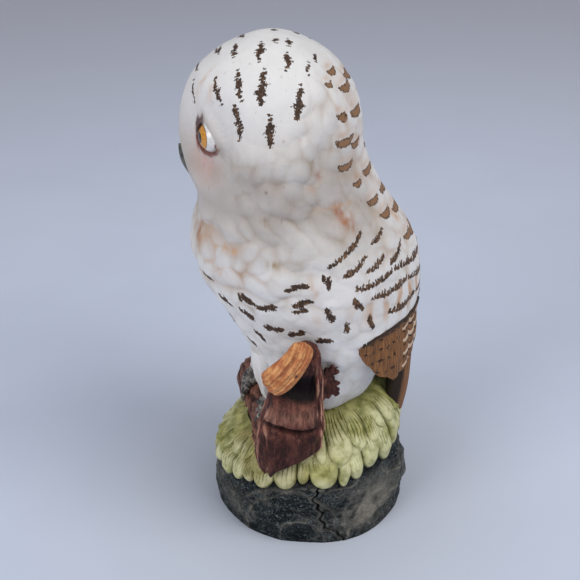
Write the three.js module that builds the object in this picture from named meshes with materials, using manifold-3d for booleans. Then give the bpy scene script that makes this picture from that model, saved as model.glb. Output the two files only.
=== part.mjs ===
// A hand-painted bisque porcelain snowy owl. It stands on a broken log, on a leafy rock base.
// Units are millimetres. +Z is up, the owl faces -Y, and its own left side is +X.
import * as THREE from 'three';
import { mergeVertices } from 'three/addons/utils/BufferGeometryUtils.js';
import Module from 'manifold-3d';

const wasm = await Module();
wasm.setup();

// ---- Driving dimensions -------------------------------------------------------------------

const OWL_TOP = 176.8;          // crown of the head above the table
const DECK_Z = 43.5;           // flat seat on the rock that carries the owl
const NECK_Z = 124;            // seam between the torso casting and the head casting
const ROCK_CENTRE_X = 4;       // the rock reaches further on the stump's side
const ROCK_CENTRE_Y = 7.3;     // and sits a little behind the owl's axis
const ROCK_RADIUS = 35;        // mean radius of the rock's foot
const WALL = 4;                // cast wall thickness of the hollow pieces
const JOINT_GAP = 0.35;        // clearance left in every luted joint
const WING_THICKNESS = 2.7;    // wings stand this far proud of the torso
const LEAF_THICKNESS = 2.2;
const LEAF_COUNT = 16;
const VENT_RADIUS = 4.5;        // vent hole through the deck, needed when the owl is fired
const FACE_TURN = -0.05;       // the head is turned this far towards the owl's right

const TAU = 2 * Math.PI;
const LEFT = 1;
const RIGHT = -1;

// ---- Finishes -----------------------------------------------------------------------------

const FINISHES = {
  feathers: { color: '#e9e4de', roughness: 0.72, metalness: 0 },
  primaries: { color: '#7c5634', roughness: 0.75, metalness: 0 },
  bark: { color: '#6f423b', roughness: 0.8, metalness: 0 },
  heartwood: { color: '#c58a4f', roughness: 0.75, metalness: 0 },
  leaves: { color: '#a4a96e', roughness: 0.75, metalness: 0 },
  rock: { color: '#222d2f', roughness: 0.6, metalness: 0 },
  claws: { color: '#4a4845', roughness: 0.6, metalness: 0 },
  eye: { color: '#d0923a', roughness: 0.3, metalness: 0 },
};

// ---- Solid building -----------------------------------------------------------------------

// A closed body from rings of points. Each ring has the same count and runs anticlockwise seen
// from its far end. Ends are closed by a fan to the ring's centre.
function ringBody(rings) {
  const count = rings[0].length;
  const points = rings.flat();
  const faces = [];
  for (let row = 0; row + 1 < rings.length; row += 1) {
    for (let i = 0; i < count; i += 1) {
      const a = row * count + i;
      const b = row * count + ((i + 1) % count);
      faces.push([a, b, b + count], [a, b + count, a + count]);
    }
  }
  const centreOf = (ring) => ring
    .reduce((sum, p) => sum.add(p), new THREE.Vector3())
    .divideScalar(ring.length);
  const first = points.push(centreOf(rings[0])) - 1;
  const last = points.push(centreOf(rings[rings.length - 1])) - 1;
  const lastRow = (rings.length - 1) * count;
  for (let i = 0; i < count; i += 1) {
    const next = (i + 1) % count;
    faces.push([first, next, i], [last, lastRow + i, lastRow + next]);
  }
  return bodyFrom(points, faces);
}

// A ring body whose last ring joins its first, such as a hollow casting's wall section.
function loopedRingBody(rings) {
  const count = rings[0].length;
  const points = rings.flat();
  const faces = [];
  for (let row = 0; row < rings.length; row += 1) {
    const nextRow = (row + 1) % rings.length;
    for (let i = 0; i < count; i += 1) {
      const next = (i + 1) % count;
      const a = row * count + i;
      const b = row * count + next;
      const c = nextRow * count + next;
      const d = nextRow * count + i;
      faces.push([a, b, c], [a, c, d]);
    }
  }
  return bodyFrom(points, faces);
}

// A plate between two surfaces, both given as functions of u and v from 0 to 1.
function plateBody(outer, inner, uSteps, vSteps) {
  const points = [];
  const index = (side, i, j) => (side * (uSteps + 1) + i) * (vSteps + 1) + j;
  for (const surface of [outer, inner]) {
    for (let i = 0; i <= uSteps; i += 1) {
      for (let j = 0; j <= vSteps; j += 1) points.push(surface(i / uSteps, j / vSteps));
    }
  }
  const faces = [];
  const quad = (a, b, c, d) => faces.push([a, b, c], [a, c, d]);
  for (let i = 0; i < uSteps; i += 1) {
    for (let j = 0; j < vSteps; j += 1) {
      quad(index(0, i, j), index(0, i + 1, j), index(0, i + 1, j + 1), index(0, i, j + 1));
      quad(index(1, i, j), index(1, i, j + 1), index(1, i + 1, j + 1), index(1, i + 1, j));
    }
    quad(index(0, i, 0), index(1, i, 0), index(1, i + 1, 0), index(0, i + 1, 0));
    quad(index(0, i + 1, vSteps), index(1, i + 1, vSteps), index(1, i, vSteps), index(0, i, vSteps));
  }
  for (let j = 0; j < vSteps; j += 1) {
    quad(index(0, 0, j + 1), index(1, 0, j + 1), index(1, 0, j), index(0, 0, j));
    quad(index(0, uSteps, j), index(1, uSteps, j), index(1, uSteps, j + 1), index(0, uSteps, j + 1));
  }
  return bodyFrom(points, faces);
}

function bodyFrom(points, faces) {
  const geometry = new THREE.BufferGeometry();
  geometry.setAttribute('position', new THREE.Float32BufferAttribute(points.flatMap((p) => p.toArray()), 3));
  geometry.setIndex(faces.flat());
  return solid(geometry);
}

// Any closed three.js geometry as a solid that can be cut and joined, faces turned outwards.
function solid(geometry) {
  const bare = geometry.clone();
  bare.deleteAttribute('normal');
  bare.deleteAttribute('uv');
  const merged = mergeVertices(bare, 1e-4);
  const positions = new Float32Array(merged.attributes.position.array);
  const corners = Array.from(merged.index.array);
  const triangles = [];
  for (let i = 0; i < corners.length; i += 3) {
    const [a, b, c] = corners.slice(i, i + 3);
    if (a !== b && b !== c && c !== a) triangles.push(a, b, c);
  }
  if (signedVolume(positions, triangles) < 0) {
    for (let i = 0; i < triangles.length; i += 3) {
      [triangles[i], triangles[i + 1]] = [triangles[i + 1], triangles[i]];
    }
  }
  const mesh = new wasm.Mesh({ numProp: 3, vertProperties: positions, triVerts: new Uint32Array(triangles) });
  return new wasm.Manifold(mesh);
}

function signedVolume(positions, triangles) {
  const at = (i) => new THREE.Vector3().fromArray(positions, 3 * i);
  let sum = 0;
  for (let i = 0; i < triangles.length; i += 3) {
    sum += at(triangles[i]).dot(at(triangles[i + 1]).cross(at(triangles[i + 2])));
  }
  return sum / 6;
}

function geometryOf(body) {
  const mesh = body.getMesh();
  const geometry = new THREE.BufferGeometry();
  const positions = [];
  for (let i = 0; i < mesh.vertProperties.length; i += mesh.numProp) {
    positions.push(mesh.vertProperties[i], mesh.vertProperties[i + 1], mesh.vertProperties[i + 2]);
  }
  geometry.setAttribute('position', new THREE.Float32BufferAttribute(positions, 3));
  geometry.setIndex(Array.from(mesh.triVerts));
  geometry.computeVertexNormals();
  return geometry;
}

// Cuts every neighbour away from a piece and keeps the largest body that is left.
function fitted(body, ...neighbours) {
  let cut = body;
  for (const neighbour of neighbours) cut = cut.subtract(neighbour);
  const bodies = cut.decompose();
  return bodies.reduce((best, item) => (item.volume() > best.volume() ? item : best));
}

// ---- Curves -------------------------------------------------------------------------------

// Smooth interpolation through [position, value, value, ...] rows sorted by position.
function rowAt(rows, position) {
  const last = rows.length - 1;
  if (position <= rows[0][0]) return rows[0].slice(1);
  if (position >= rows[last][0]) return rows[last].slice(1);
  const i = rows.findIndex((row) => row[0] > position) - 1;
  const span = rows[i + 1][0] - rows[i][0];
  const t = (position - rows[i][0]) / span;
  const slope = (k, column) => {
    const before = rows[Math.max(k - 1, 0)];
    const after = rows[Math.min(k + 1, last)];
    return (after[column] - before[column]) / (after[0] - before[0]);
  };
  return rows[i].slice(1).map((value, k) => {
    const column = k + 1;
    const m0 = slope(i, column) * span;
    const m1 = slope(i + 1, column) * span;
    const end = rows[i + 1][column];
    return value * (2 * t ** 3 - 3 * t ** 2 + 1) + m0 * (t ** 3 - 2 * t ** 2 + t)
      + end * (3 * t ** 2 - 2 * t ** 3) + m1 * (t ** 3 - t ** 2);
  });
}

const smooth = (t) => THREE.MathUtils.smoothstep(t, 0, 1);
const mix = THREE.MathUtils.lerp;

// A tube body along a smooth curve, with a radius for each point and a round nose at the end.
function taperedTube(route, radii, sides, steps) {
  const curve = new THREE.CatmullRomCurve3(route.map((p) => new THREE.Vector3(...p)));
  const frames = curve.computeFrenetFrames(steps, false);
  const rings = [];
  for (let step = 0; step <= steps; step += 1) {
    const t = step / steps;
    const place = t * (radii.length - 1);
    const low = Math.min(Math.floor(place), radii.length - 2);
    const radius = mix(radii[low], radii[low + 1], place - low);
    const centre = curve.getPointAt(t);
    const ring = [];
    for (let i = 0; i < sides; i += 1) {
      const angle = (TAU * i) / sides;
      ring.push(centre.clone()
        .addScaledVector(frames.normals[step], radius * Math.cos(angle))
        .addScaledVector(frames.binormals[step], radius * Math.sin(angle)));
    }
    rings.push(ring);
  }
  return ringBody(rings);
}

// ---- Owl body -----------------------------------------------------------------------------

// Height, front Y, back Y and half width of the owl from its seat to just under the crown.
const OWL_SECTIONS = [
  [DECK_Z, -8, 24, 19.5],
  [52, -10.5, 31, 24.5],
  [62, -12.6, 36, 27.8],
  [72, -16.8, 40.2, 30],
  [82, -22.6, 42.8, 31.6],
  [92, -28.7, 43.6, 32.8],
  [102, -31.8, 42.4, 33],
  [111, -31.6, 38.8, 32.2],
  [118.5, -30, 34.6, 30.8],
  [126, -32, 29.6, 29.6],
  [134, -35, 25.6, 29.2],
  [142, -36.4, 23.4, 29.2],
  [150, -36.3, 22.2, 28.8],
  [158, -34.3, 20.2, 27.2],
  [165, -30.6, 16.6, 23.8],
  [171, -23.6, 10.8, 18.2],
  [175, -15.4, 3.4, 11.2],
];
const CROWN_RING_Z = 175;       // last full section, just under the crown
const CROWN_INSET = 7.4;        // how much smaller the crown's flat middle is than that section
const CAVITY_TOP_Z = 160;
const OWL_SIDES = 32;

// How square a level section is in front: 2 is an ellipse, and less gives the face its wedge,
// with a ridge down the middle and a flat disc on each side.
function faceRoundness(z) {
  return 2 - 0.5 * smooth((z - 126) / 12) * smooth((168 - z) / 12);
}

// A point on the owl at an angle from its front, turning towards its left.
function owlPoint(angle, z, offset = 0) {
  const [front, back, halfWidth] = rowAt(OWL_SECTIONS, z);
  const facing = Math.max(0, Math.cos(angle));
  const power = 2 / mix(2, faceRoundness(z), Math.min(1, 2 * facing));
  const side = Math.sign(Math.sin(angle)) * Math.abs(Math.sin(angle)) ** power;
  const ahead = Math.sign(Math.cos(angle)) * Math.abs(Math.cos(angle)) ** power;
  const x = (halfWidth + offset) * side;
  const y = (front + back) / 2 - ((back - front) / 2 + offset) * ahead;
  return new THREE.Vector3(x, y, z);
}

function owlRing(z, offset = 0) {
  return Array.from({ length: OWL_SIDES }, (_, i) => owlPoint((TAU * i) / OWL_SIDES, z, offset));
}

const TORSO_HEIGHTS = [DECK_Z + JOINT_GAP, 52, 62, 72, 82, 92, 102, 111, 118.5, NECK_Z - JOINT_GAP];
const HEAD_HEIGHTS = [NECK_Z, 129, 134, 142, 150, 158, 165, 171, CROWN_RING_Z];
const HEAD_CAVITY_HEIGHTS = [NECK_Z - 1, 134, 142, 150, CAVITY_TOP_Z];

function owlTorso() {
  const outer = TORSO_HEIGHTS.map((z) => owlRing(z));
  const inner = TORSO_HEIGHTS.map((z) => owlRing(z, -WALL)).reverse();
  return loopedRingBody([...outer, ...inner]);
}

function crownRing(offset) {
  return owlRing(CROWN_RING_Z, offset - CROWN_INSET).map((p) => p.setZ(OWL_TOP + offset));
}

// The whole owl as one solid, standing a little proud, that its neighbours are cut with.
function owlClearance() {
  const heights = [DECK_Z, ...TORSO_HEIGHTS.slice(1, -1), ...HEAD_HEIGHTS.slice(1)];
  return ringBody([...heights.map((z) => owlRing(z, JOINT_GAP)), crownRing(JOINT_GAP)]);
}

function owlHead(faceCuts) {
  const shell = ringBody([...HEAD_HEIGHTS.map((z) => owlRing(z)), crownRing(0)]);
  const cavity = ringBody(HEAD_CAVITY_HEIGHTS.map((z) => owlRing(z, -WALL - 1)));
  return fitted(shell, cavity, ...faceCuts);
}

// ---- Face ---------------------------------------------------------------------------------

const EYE_ANGLE = 0.82;        // how far each eye is from the middle of the face
const EYE_Z = 147;
const EYE_RADIUS = 5.4;
const EYE_DEPTH = 4.2;         // the eyeball's centre lies this far under the face
const SOCKET_HALF_SIZE = [5.4, 4.6, 4.2];
const SOCKET_SLANT = 0.35;
const SOCKET_HEIGHT = 0.6;     // the socket is cut by a bowl centred this far over the face

function eyeAngle(side) {
  return FACE_TURN + EYE_ANGLE * side;
}

function eyeBody(side, radius) {
  const ball = new THREE.SphereGeometry(radius, 12, 8);
  const angle = eyeAngle(side);
  const centre = owlPoint(angle, EYE_Z, -EYE_DEPTH);
  ball.rotateX(Math.PI / 2);
  ball.translate(centre.x, centre.y, centre.z);
  return solid(ball);
}

// The almond hollow around an eye, deep enough to open over the eyeball.
function eyeSocket(side) {
  const bowl = new THREE.SphereGeometry(1, 12, 8);
  bowl.scale(...SOCKET_HALF_SIZE);
  bowl.rotateY(SOCKET_SLANT * side);
  bowl.rotateZ(eyeAngle(side));
  const centre = owlPoint(eyeAngle(side), EYE_Z, SOCKET_HEIGHT);
  bowl.translate(centre.x, centre.y, centre.z);
  return solid(bowl);
}

const BEAK_ROOT_Z = 139;
const BEAK_TIP_Z = 124.5;
const BEAK_REACH = 1.3;
const BEAK_HALF_WIDTH = 3.6;
const BEAK_HALF_DEPTH = 3;
const BEAK_STEPS = 8;
const BEAK_SIDES = 12;

// A hooked beak lying close against the face.
function beakBody(grow) {
  const rings = [];
  const outward = new THREE.Vector3(Math.sin(FACE_TURN), -Math.cos(FACE_TURN), 0);
  const sideways = new THREE.Vector3(Math.cos(FACE_TURN), Math.sin(FACE_TURN), 0);
  for (let step = 0; step <= BEAK_STEPS; step += 1) {
    const t = step / BEAK_STEPS;
    const z = mix(BEAK_ROOT_Z, BEAK_TIP_Z, t);
    const reach = BEAK_REACH * Math.sin(Math.PI * Math.min(0.14 + 0.8 * t, 1)) + 0.5;
    const halfWidth = BEAK_HALF_WIDTH * Math.sqrt(1 - 0.93 * t ** 2) * smooth(4 * t + 0.35) + grow;
    const halfDepth = BEAK_HALF_DEPTH * (1 - 0.5 * t) + grow;
    const centre = owlPoint(FACE_TURN, z, reach + grow - halfDepth);
    centre.z -= grow * (2 * t - 1);
    rings.push(Array.from({ length: BEAK_SIDES }, (_, i) => {
      const angle = (TAU * i) / BEAK_SIDES;
      return centre.clone()
        .addScaledVector(sideways, halfWidth * Math.sin(angle))
        .addScaledVector(outward, halfDepth * Math.cos(angle));
    }));
  }
  return ringBody(rings);
}

// ---- Wings and tail -----------------------------------------------------------------------

const WING_LEAD_ANGLE = 1.15;  // leading edge, as an angle from the owl's front
const BACK_WIDTH = 60;         // twice the distance from the owl's axis to its back
const BACK_ANGLE = Math.PI - JOINT_GAP / BACK_WIDTH;

// Height of the coverts' lower and upper edges, from leading edge (0) to the middle of the back (1).
const COVERT_EDGES = [
  [0, 86, 100],
  [0.15, 82.5, 113],
  [0.35, 81, 124],
  [0.6, 84.5, 127.5],
  [0.8, 88.5, 126],
  [1, 91, 121],
];

// The short layered feathers that cover the closed wing.
function wingCoverts(side, grow) {
  const surface = (lift) => (u, v) => {
    const [low, high] = rowAt(COVERT_EDGES, u);
    const z = mix(low - grow, high + grow, v);
    const rounding = Math.min(1, 0.35 + 4 * u) * Math.min(1, 0.3 + 3.5 * (1 - v));
    return owlPoint(mix(WING_LEAD_ANGLE, BACK_ANGLE, u) * side, z, lift * rounding + JOINT_GAP);
  };
  return plateBody(surface(WING_THICKNESS + grow), surface(-grow), 14, 8);
}

// Height of the flight feathers' lower and upper edges, from their front corner to the back.
const PRIMARY_EDGES = [
  [0, 74.5, 80.6],
  [0.18, 65, 81.6],
  [0.38, 62, 83.6],
  [0.65, 65.5, 86.8],
  [1, 72, 90.2],
];
const PRIMARY_LEAD_ANGLE = 1.95;
const PRIMARY_THICKNESS = 2.3;
const PRIMARY_FREE_Z = 80;     // below this height the feathers leave the narrowing body
const PRIMARY_SPREAD = 0.36;   // and stand off it by this much for each mm further down

// The long flight feathers below the coverts, standing off the body as it narrows.
function wingPrimaries(side, grow) {
  const surface = (lift) => (u, v) => {
    const [low, high] = rowAt(PRIMARY_EDGES, u);
    const z = mix(low - grow, high - JOINT_GAP, v);
    const standOff = PRIMARY_SPREAD * Math.max(0, PRIMARY_FREE_Z - z) * smooth(u * 2.5);
    return owlPoint(mix(PRIMARY_LEAD_ANGLE, BACK_ANGLE, u) * side, z, lift + JOINT_GAP + standOff);
  };
  return plateBody(surface(PRIMARY_THICKNESS + grow), surface(-grow), 8, 6);
}

// The tail: a thick blade of overlapping feathers behind the rock.
const TAIL_TOP_Z = 74;
const TAIL_END_Z = 34;
const TAIL_TOP_Y = 44.2;
const TAIL_END_Y = 42;
const TAIL_HALF_WIDTH = 11.5;
const TAIL_THICKNESS = 4.6;

function tailBlade(grow) {
  const surface = (inset) => (u, v) => {
    const across = 2 * u - 1;
    const z = mix(TAIL_TOP_Z, TAIL_END_Z + 4 * across ** 2 - grow, v);
    const x = across * (TAIL_HALF_WIDTH * mix(0.9, 1, v) + grow);
    const y = mix(TAIL_TOP_Y, TAIL_END_Y, v) + 1.8 * Math.sin(Math.PI * v) - 2.6 * across ** 2 - inset;
    return new THREE.Vector3(x, y, z);
  };
  return plateBody(surface(-grow), surface(TAIL_THICKNESS + grow), 8, 7);
}

const DOWN_TOP = { z: 60, y: 41.2 };
const DOWN_END = { z: 48.5, y: 38.8 };
const DOWN_HALF_WIDTH = 10;
const DOWN_THICKNESS = 3.4;

// A short fan of pale down under the root of the tail.
function undertailDown() {
  const surface = (inset) => (u, v) => {
    const across = 2 * u - 1;
    const z = mix(DOWN_TOP.z, DOWN_END.z + 4 * across ** 2, v);
    const y = mix(DOWN_TOP.y, DOWN_END.y, v) - 3 * across ** 2 - inset;
    return new THREE.Vector3(across * DOWN_HALF_WIDTH, y, z);
  };
  return plateBody(surface(0), surface(DOWN_THICKNESS), 6, 4);
}

// ---- Log and stump ------------------------------------------------------------------------

const LOG_RADIUS = 8.8;
const LOG_FAR = new THREE.Vector3(-21, -12, 31.5);
const LOG_NEAR = new THREE.Vector3(29, 2, 33.5);
const LOG_SIDES = 16;

// A ridged cross section of bark, square to the log's length.
function barkRing(t, radius, ridges) {
  const along = LOG_NEAR.clone().sub(LOG_FAR).setZ(0).normalize();
  const across = new THREE.Vector3(along.y, -along.x, 0);
  const centre = LOG_FAR.clone().lerp(LOG_NEAR, t);
  return Array.from({ length: LOG_SIDES }, (_, i) => {
    const angle = (TAU * i) / LOG_SIDES;
    const reach = radius * (1 + 0.05 * Math.sin(ridges * angle + 5 * t));
    return centre.clone()
      .addScaledVector(across, reach * Math.cos(angle))
      .add(new THREE.Vector3(0, 0, reach * Math.sin(angle)));
  });
}

function logBody(grow) {
  const steps = 9;
  const rings = [];
  for (let step = 0; step <= steps; step += 1) {
    const t = step / steps;
    rings.push(barkRing(t, LOG_RADIUS * (1 + 0.06 * Math.sin(9 * t)) + grow, 5));
  }
  return ringBody(rings);
}

// The broken knot at the log's far end.
function logFarEnd(grow) {
  const steps = 5;
  const rings = [];
  for (let step = 0; step <= steps; step += 1) {
    const t = step / steps;
    rings.push(barkRing(-0.008 - 0.13 * t - grow * t / 50, LOG_RADIUS * (0.98 - 0.42 * t ** 2) + grow, 4));
  }
  return ringBody(rings);
}

// Height, X, Y, half depth and half width of the stump.
const STUMP_SECTIONS = [
  [27.5, 35.2, 0.8, 3.8, 7],
  [32, 34.8, 1.8, 6.2, 10],
  [42, 34.4, 1.8, 7, 11.3],
  [53, 33.8, 0.8, 7, 11.7],
  [61, 33.4, 0.8, 6.8, 11.3],
  [67, 33.4, 1.4, 6.4, 10.2],
  [73, 33.6, 2.9, 5.8, 8.2],
  [79, 34, 4.8, 4.6, 5.2],
  [83, 34.2, 5.4, 2.6, 2.6],
];
const STUMP_SIDES = 18;

// An upright broken snag with a torn, sloping top.
function stumpBody(grow) {
  return ringBody(STUMP_SECTIONS.map(([z, x, y, halfDepth, halfWidth], row) => {
    const end = (row === 0 ? -grow : 0) + (row === STUMP_SECTIONS.length - 1 ? grow : 0);
    return Array.from({ length: STUMP_SIDES }, (_, i) => {
      const angle = (TAU * i) / STUMP_SIDES;
      const ridge = 1 + 0.05 * Math.sin(6 * angle + z / 9);
      return new THREE.Vector3(
        x + (halfDepth * ridge + grow) * Math.cos(angle),
        y + (halfWidth * ridge + grow) * Math.sin(angle),
        z + end,
      );
    });
  }));
}

const HOLLOW_HALF_SIZE = [4.6, 8.6, 5];
const HOLLOW_CENTRE = [40.8, 0.6, 65];

// The rotted hollow in the outer face of the stump, under its torn top.
function stumpHollow() {
  const hollow = new THREE.SphereGeometry(1, 12, 8);
  hollow.scale(...HOLLOW_HALF_SIZE);
  hollow.rotateX(0.22);
  hollow.translate(...HOLLOW_CENTRE);
  return solid(hollow);
}

// The pale torn heartwood that caps the stump and slopes down towards the front.
function heartwoodCap(grow) {
  return taperedTube([
    [37.2, 4.6, 82.4],
    [38.4, 1.4, 79.2],
    [39, -2.4, 74.6],
    [39, -5.6, 70.4],
    [38.2, -7.8, 67],
  ], [2.6 + grow, 3.7 + grow, 4 + grow, 3.7 + grow, 2.4 + grow], 10, 8);
}

const FLAKE_HALF_THICKNESS = 1.1;
const FLAKE_LOW_Z = 59.5;
const FLAKE_HIGH_Z = 71;

// A ragged flake of bark between the stump and the owl.
function barkFlake() {
  const surface = (out) => (u, v) => new THREE.Vector3(
    mix(33, 31.8, u) + (out ? FLAKE_HALF_THICKNESS : -FLAKE_HALF_THICKNESS),
    mix(11.6, 16 + 1.1 * Math.sin(7 * v), u),
    mix(FLAKE_LOW_Z, FLAKE_HIGH_Z, v) + 1.5 * Math.sin(2.5 * u),
  );
  return plateBody(surface(true), surface(false), 3, 5);
}

// ---- Legs and feet ------------------------------------------------------------------------

const FEET = { left: 11.5, right: -8.5 };

// The middle of the top of the log where a foot stands.
function perch(x) {
  const t = (x - LOG_FAR.x) / (LOG_NEAR.x - LOG_FAR.x);
  const centre = LOG_FAR.clone().lerp(LOG_NEAR, t);
  return centre.setZ(centre.z + LOG_RADIUS);
}

// Height over the perch, half width and half depth of a feathered leg, from thigh to foot.
const LEG_SECTIONS = [
  [24, 7, 6],
  [18, 7.2, 6],
  [12, 6.6, 5.4],
  [7, 5.6, 4.6],
  [4, 4.6, 3.8],
];
const THIGH_Y = -8;
const ANKLE_AHEAD = 2.4;       // the ankle is this far in front of the middle of the log
const LEG_SIDES = 12;

function legBody(x, grow) {
  const seat = perch(x);
  const last = LEG_SECTIONS.length - 1;
  return ringBody(LEG_SECTIONS.map(([height, halfWidth, halfDepth], row) => (
    Array.from({ length: LEG_SIDES }, (_, i) => {
      const angle = (TAU * i) / LEG_SIDES;
      return new THREE.Vector3(
        x + (halfWidth + grow) * Math.cos(angle),
        mix(THIGH_Y, seat.y - ANKLE_AHEAD, row / last) + (halfDepth + grow) * Math.sin(angle),
        seat.z + height - (row === last ? grow : 0),
      );
    })
  )));
}

const TOE_SPREADS = [-3.4, 0, 3.4];
const TOE_RADII = [2.2, 2.3, 2.1, 1.6, 1.4, 0.9, 0.5];

// One scaly toe lying over the log, ending in a curved talon.
function toeBody(x, spread, grow) {
  const seat = perch(x);
  return taperedTube([
    [x + spread * 0.5, seat.y - 1.5, seat.z + 2.2],
    [x + spread * 1.1, seat.y - 5.6, seat.z + 1.2],
    [x + spread * 1.5, seat.y - 9.2, seat.z - 2.6],
    [x + spread * 1.7, seat.y - 11.2, seat.z - 7.4],
    [x + spread * 1.8, seat.y - 11, seat.z - 11],
  ], TOE_RADII.map((radius) => radius + grow), 6, 8);
}

function footBody(x, grow) {
  return TOE_SPREADS
    .map((spread) => toeBody(x, spread, grow))
    .reduce((sum, toe) => sum.add(toe));
}

// ---- Rock base ----------------------------------------------------------------------------

const ROCK_SIDES = 36;
const VENT_Y = 12;
const CEILING_Z = 22;
const CEILING_INSET = 16;
const FOOT_RING_WIDTH = 6.2;
const SHOULDER_INSET = 2.6;

// Radius of the rock's foot at an angle from the front, turning towards the owl's left.
function rockRadius(angle) {
  return ROCK_RADIUS + 1.6 * Math.cos(angle - 1.92) + 0.5 * Math.sin(3 * angle + 0.6)
    + 0.3 * Math.sin(7 * angle);
}

// The flat deck under the owl is small in front, where the log lies.
function deckRadius(angle) {
  return 18.5 - 6.5 * Math.cos(angle);
}

// Height of the rock's shoulder: low in front, high behind.
function rimHeight(angle) {
  return 29 - 5.5 * Math.cos(angle) + 0.7 * Math.sin(4 * angle + 1);
}

function rockPlace(angle, radius, z) {
  return new THREE.Vector3(
    ROCK_CENTRE_X + radius * Math.sin(angle),
    ROCK_CENTRE_Y - radius * Math.cos(angle),
    z,
  );
}

// A point on the rock's skin. s runs 0 at the deck's edge, 1 at the shoulder and 2 at the table.
function rockPoint(angle, s) {
  const rim = rimHeight(angle);
  const shoulder = rockRadius(angle) - SHOULDER_INSET;
  if (s <= 1) {
    const bulge = 1.5 - 0.5 * Math.cos(angle);
    return rockPlace(angle, mix(deckRadius(angle), shoulder, s), mix(DECK_Z, rim, Math.max(s, 0) ** bulge));
  }
  const t = s - 1;
  const swell = 3 * Math.sin(Math.PI * Math.min(0.75 * t, 0.5)) - 0.4 * smooth((t - 0.7) / 0.3);
  return rockPlace(angle, shoulder + swell, mix(rim, 0, t));
}

// The rock's skin moved out along its own normal.
function rockSkin(angle, s, offset) {
  const step = 0.004;
  const along = rockPoint(angle, s + step).sub(rockPoint(angle, s - step));
  const around = rockPoint(angle + step, s).sub(rockPoint(angle - step, s));
  const normal = along.cross(around).normalize();
  return rockPoint(angle, s).addScaledVector(normal, offset);
}

function rockRing(place) {
  return Array.from({ length: ROCK_SIDES }, (_, i) => place((TAU * i) / ROCK_SIDES));
}

const ROCK_ROWS = [2, 1.8, 1.6, 1.4, 1.2, 1, 0.75, 0.5, 0.25];

// The rock is cast hollow, with a foot ring all round, an open underside and a vent through it.
function rockBase(trough) {
  const vent = (z) => rockRing((angle) => (
    rockPlace(angle, VENT_RADIUS, z).add(new THREE.Vector3(0, VENT_Y - ROCK_CENTRE_Y, 0))
  ));
  const inside = (z, inset) => rockRing((angle) => rockPlace(angle, rockRadius(angle) - inset, z));
  const casting = loopedRingBody([
    ...ROCK_ROWS.map((s) => rockRing((angle) => rockPoint(angle, s))),
    rockRing((angle) => rockPoint(angle, 0)),
    vent(DECK_Z),
    vent(CEILING_Z),
    inside(CEILING_Z, CEILING_INSET),
    inside(CEILING_Z - 7, 9),
    inside(0, FOOT_RING_WIDTH),
  ]);
  return fitted(casting, trough);
}

// The rock as a full solid standing a little proud, that its neighbours are cut with.
function rockClearance() {
  const rings = ROCK_ROWS.map((s) => rockRing((angle) => rockSkin(angle, s, JOINT_GAP)));
  rings.push(rockRing((angle) => rockPlace(angle, deckRadius(angle), DECK_Z + JOINT_GAP)));
  return ringBody(rings);
}

// ---- Leaves -------------------------------------------------------------------------------

// How far each leaf hangs over the shoulder, as an s on the rock's skin, in turn from the front.
const LEAF_REACH = [1.16, 1.26, 1.16, 1.2, 1.2, 1.12, 1.1, 1.04];
const LEAF_LIFT_BEHIND = 8;

function leafBody(index) {
  const pitch = TAU / LEAF_COUNT;
  const middle = pitch * (index + 0.5);
  const reach = LEAF_REACH[index % LEAF_REACH.length];
  const behind = smooth(0.3 - Math.cos(middle));
  const surface = (lift) => (u, v) => {
    const across = 2 * u - 1;
    const length = reach * (1 - 0.13 * across ** 2);
    const s = mix(-0.4 * behind, length, v);
    const narrowing = 1 - 0.24 * smooth((v - 0.72) / 0.28);
    const halfAngle = (pitch / 2 - 0.008 - 0.006 * (1 - v)) * narrowing;
    const crown = lift * (1 - 0.35 * across ** 2) * (0.75 + 0.25 * Math.sin(Math.PI * v));
    const place = rockSkin(middle + across * halfAngle, s, JOINT_GAP + 0.1 + crown);
    // Behind the owl the leaves' inner ends stand up against its body.
    place.z += (lift > 0 ? LEAF_LIFT_BEHIND : 0) * behind * (1 - v) ** 2;
    return place;
  };
  return plateBody(surface(LEAF_THICKNESS), surface(0), 4, 5);
}

// ---- Assembly -----------------------------------------------------------------------------

const figurine = new THREE.Group();

function addPiece(name, body, finish) {
  const mesh = new THREE.Mesh(geometryOf(body), new THREE.MeshStandardMaterial(FINISHES[finish]));
  mesh.name = name;
  figurine.add(mesh);
}

const SIDES = [['left', LEFT], ['right', RIGHT]];
const owl = owlClearance();
const rock = rockClearance();
const logSpace = logBody(JOINT_GAP).add(logFarEnd(JOINT_GAP));
const stumpSpace = stumpBody(JOINT_GAP);
const capSpace = heartwoodCap(JOINT_GAP);
const tailSpace = tailBlade(JOINT_GAP);
const footSpaces = SIDES.map(([label]) => footBody(FEET[label], JOINT_GAP));
const primarySpaces = SIDES.map(([, side]) => wingPrimaries(side, JOINT_GAP));
const faceCuts = SIDES.flatMap(([, side]) => [eyeSocket(side), eyeBody(side, EYE_RADIUS + JOINT_GAP)]);

addPiece('base_rock', rockBase(logSpace), 'rock');
addPiece('owl_torso', owlTorso(), 'feathers');
addPiece('owl_head', owlHead([...faceCuts, beakBody(JOINT_GAP)]), 'feathers');
addPiece('beak', beakBody(0), 'claws');

for (const [label, side] of SIDES) {
  const x = FEET[label];
  addPiece(`eye_${label}`, eyeBody(side, EYE_RADIUS), 'eye');
  addPiece(`wing_${label}`, wingCoverts(side, 0), 'feathers');
  addPiece(`primaries_${label}`, fitted(wingPrimaries(side, 0), owl), 'primaries');
  addPiece(`leg_${label}`, fitted(legBody(x, 0), owl, logSpace, rock), 'feathers');
  addPiece(`foot_${label}`, fitted(footBody(x, 0), logSpace, legBody(x, JOINT_GAP), owl, rock), 'claws');
}

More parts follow.
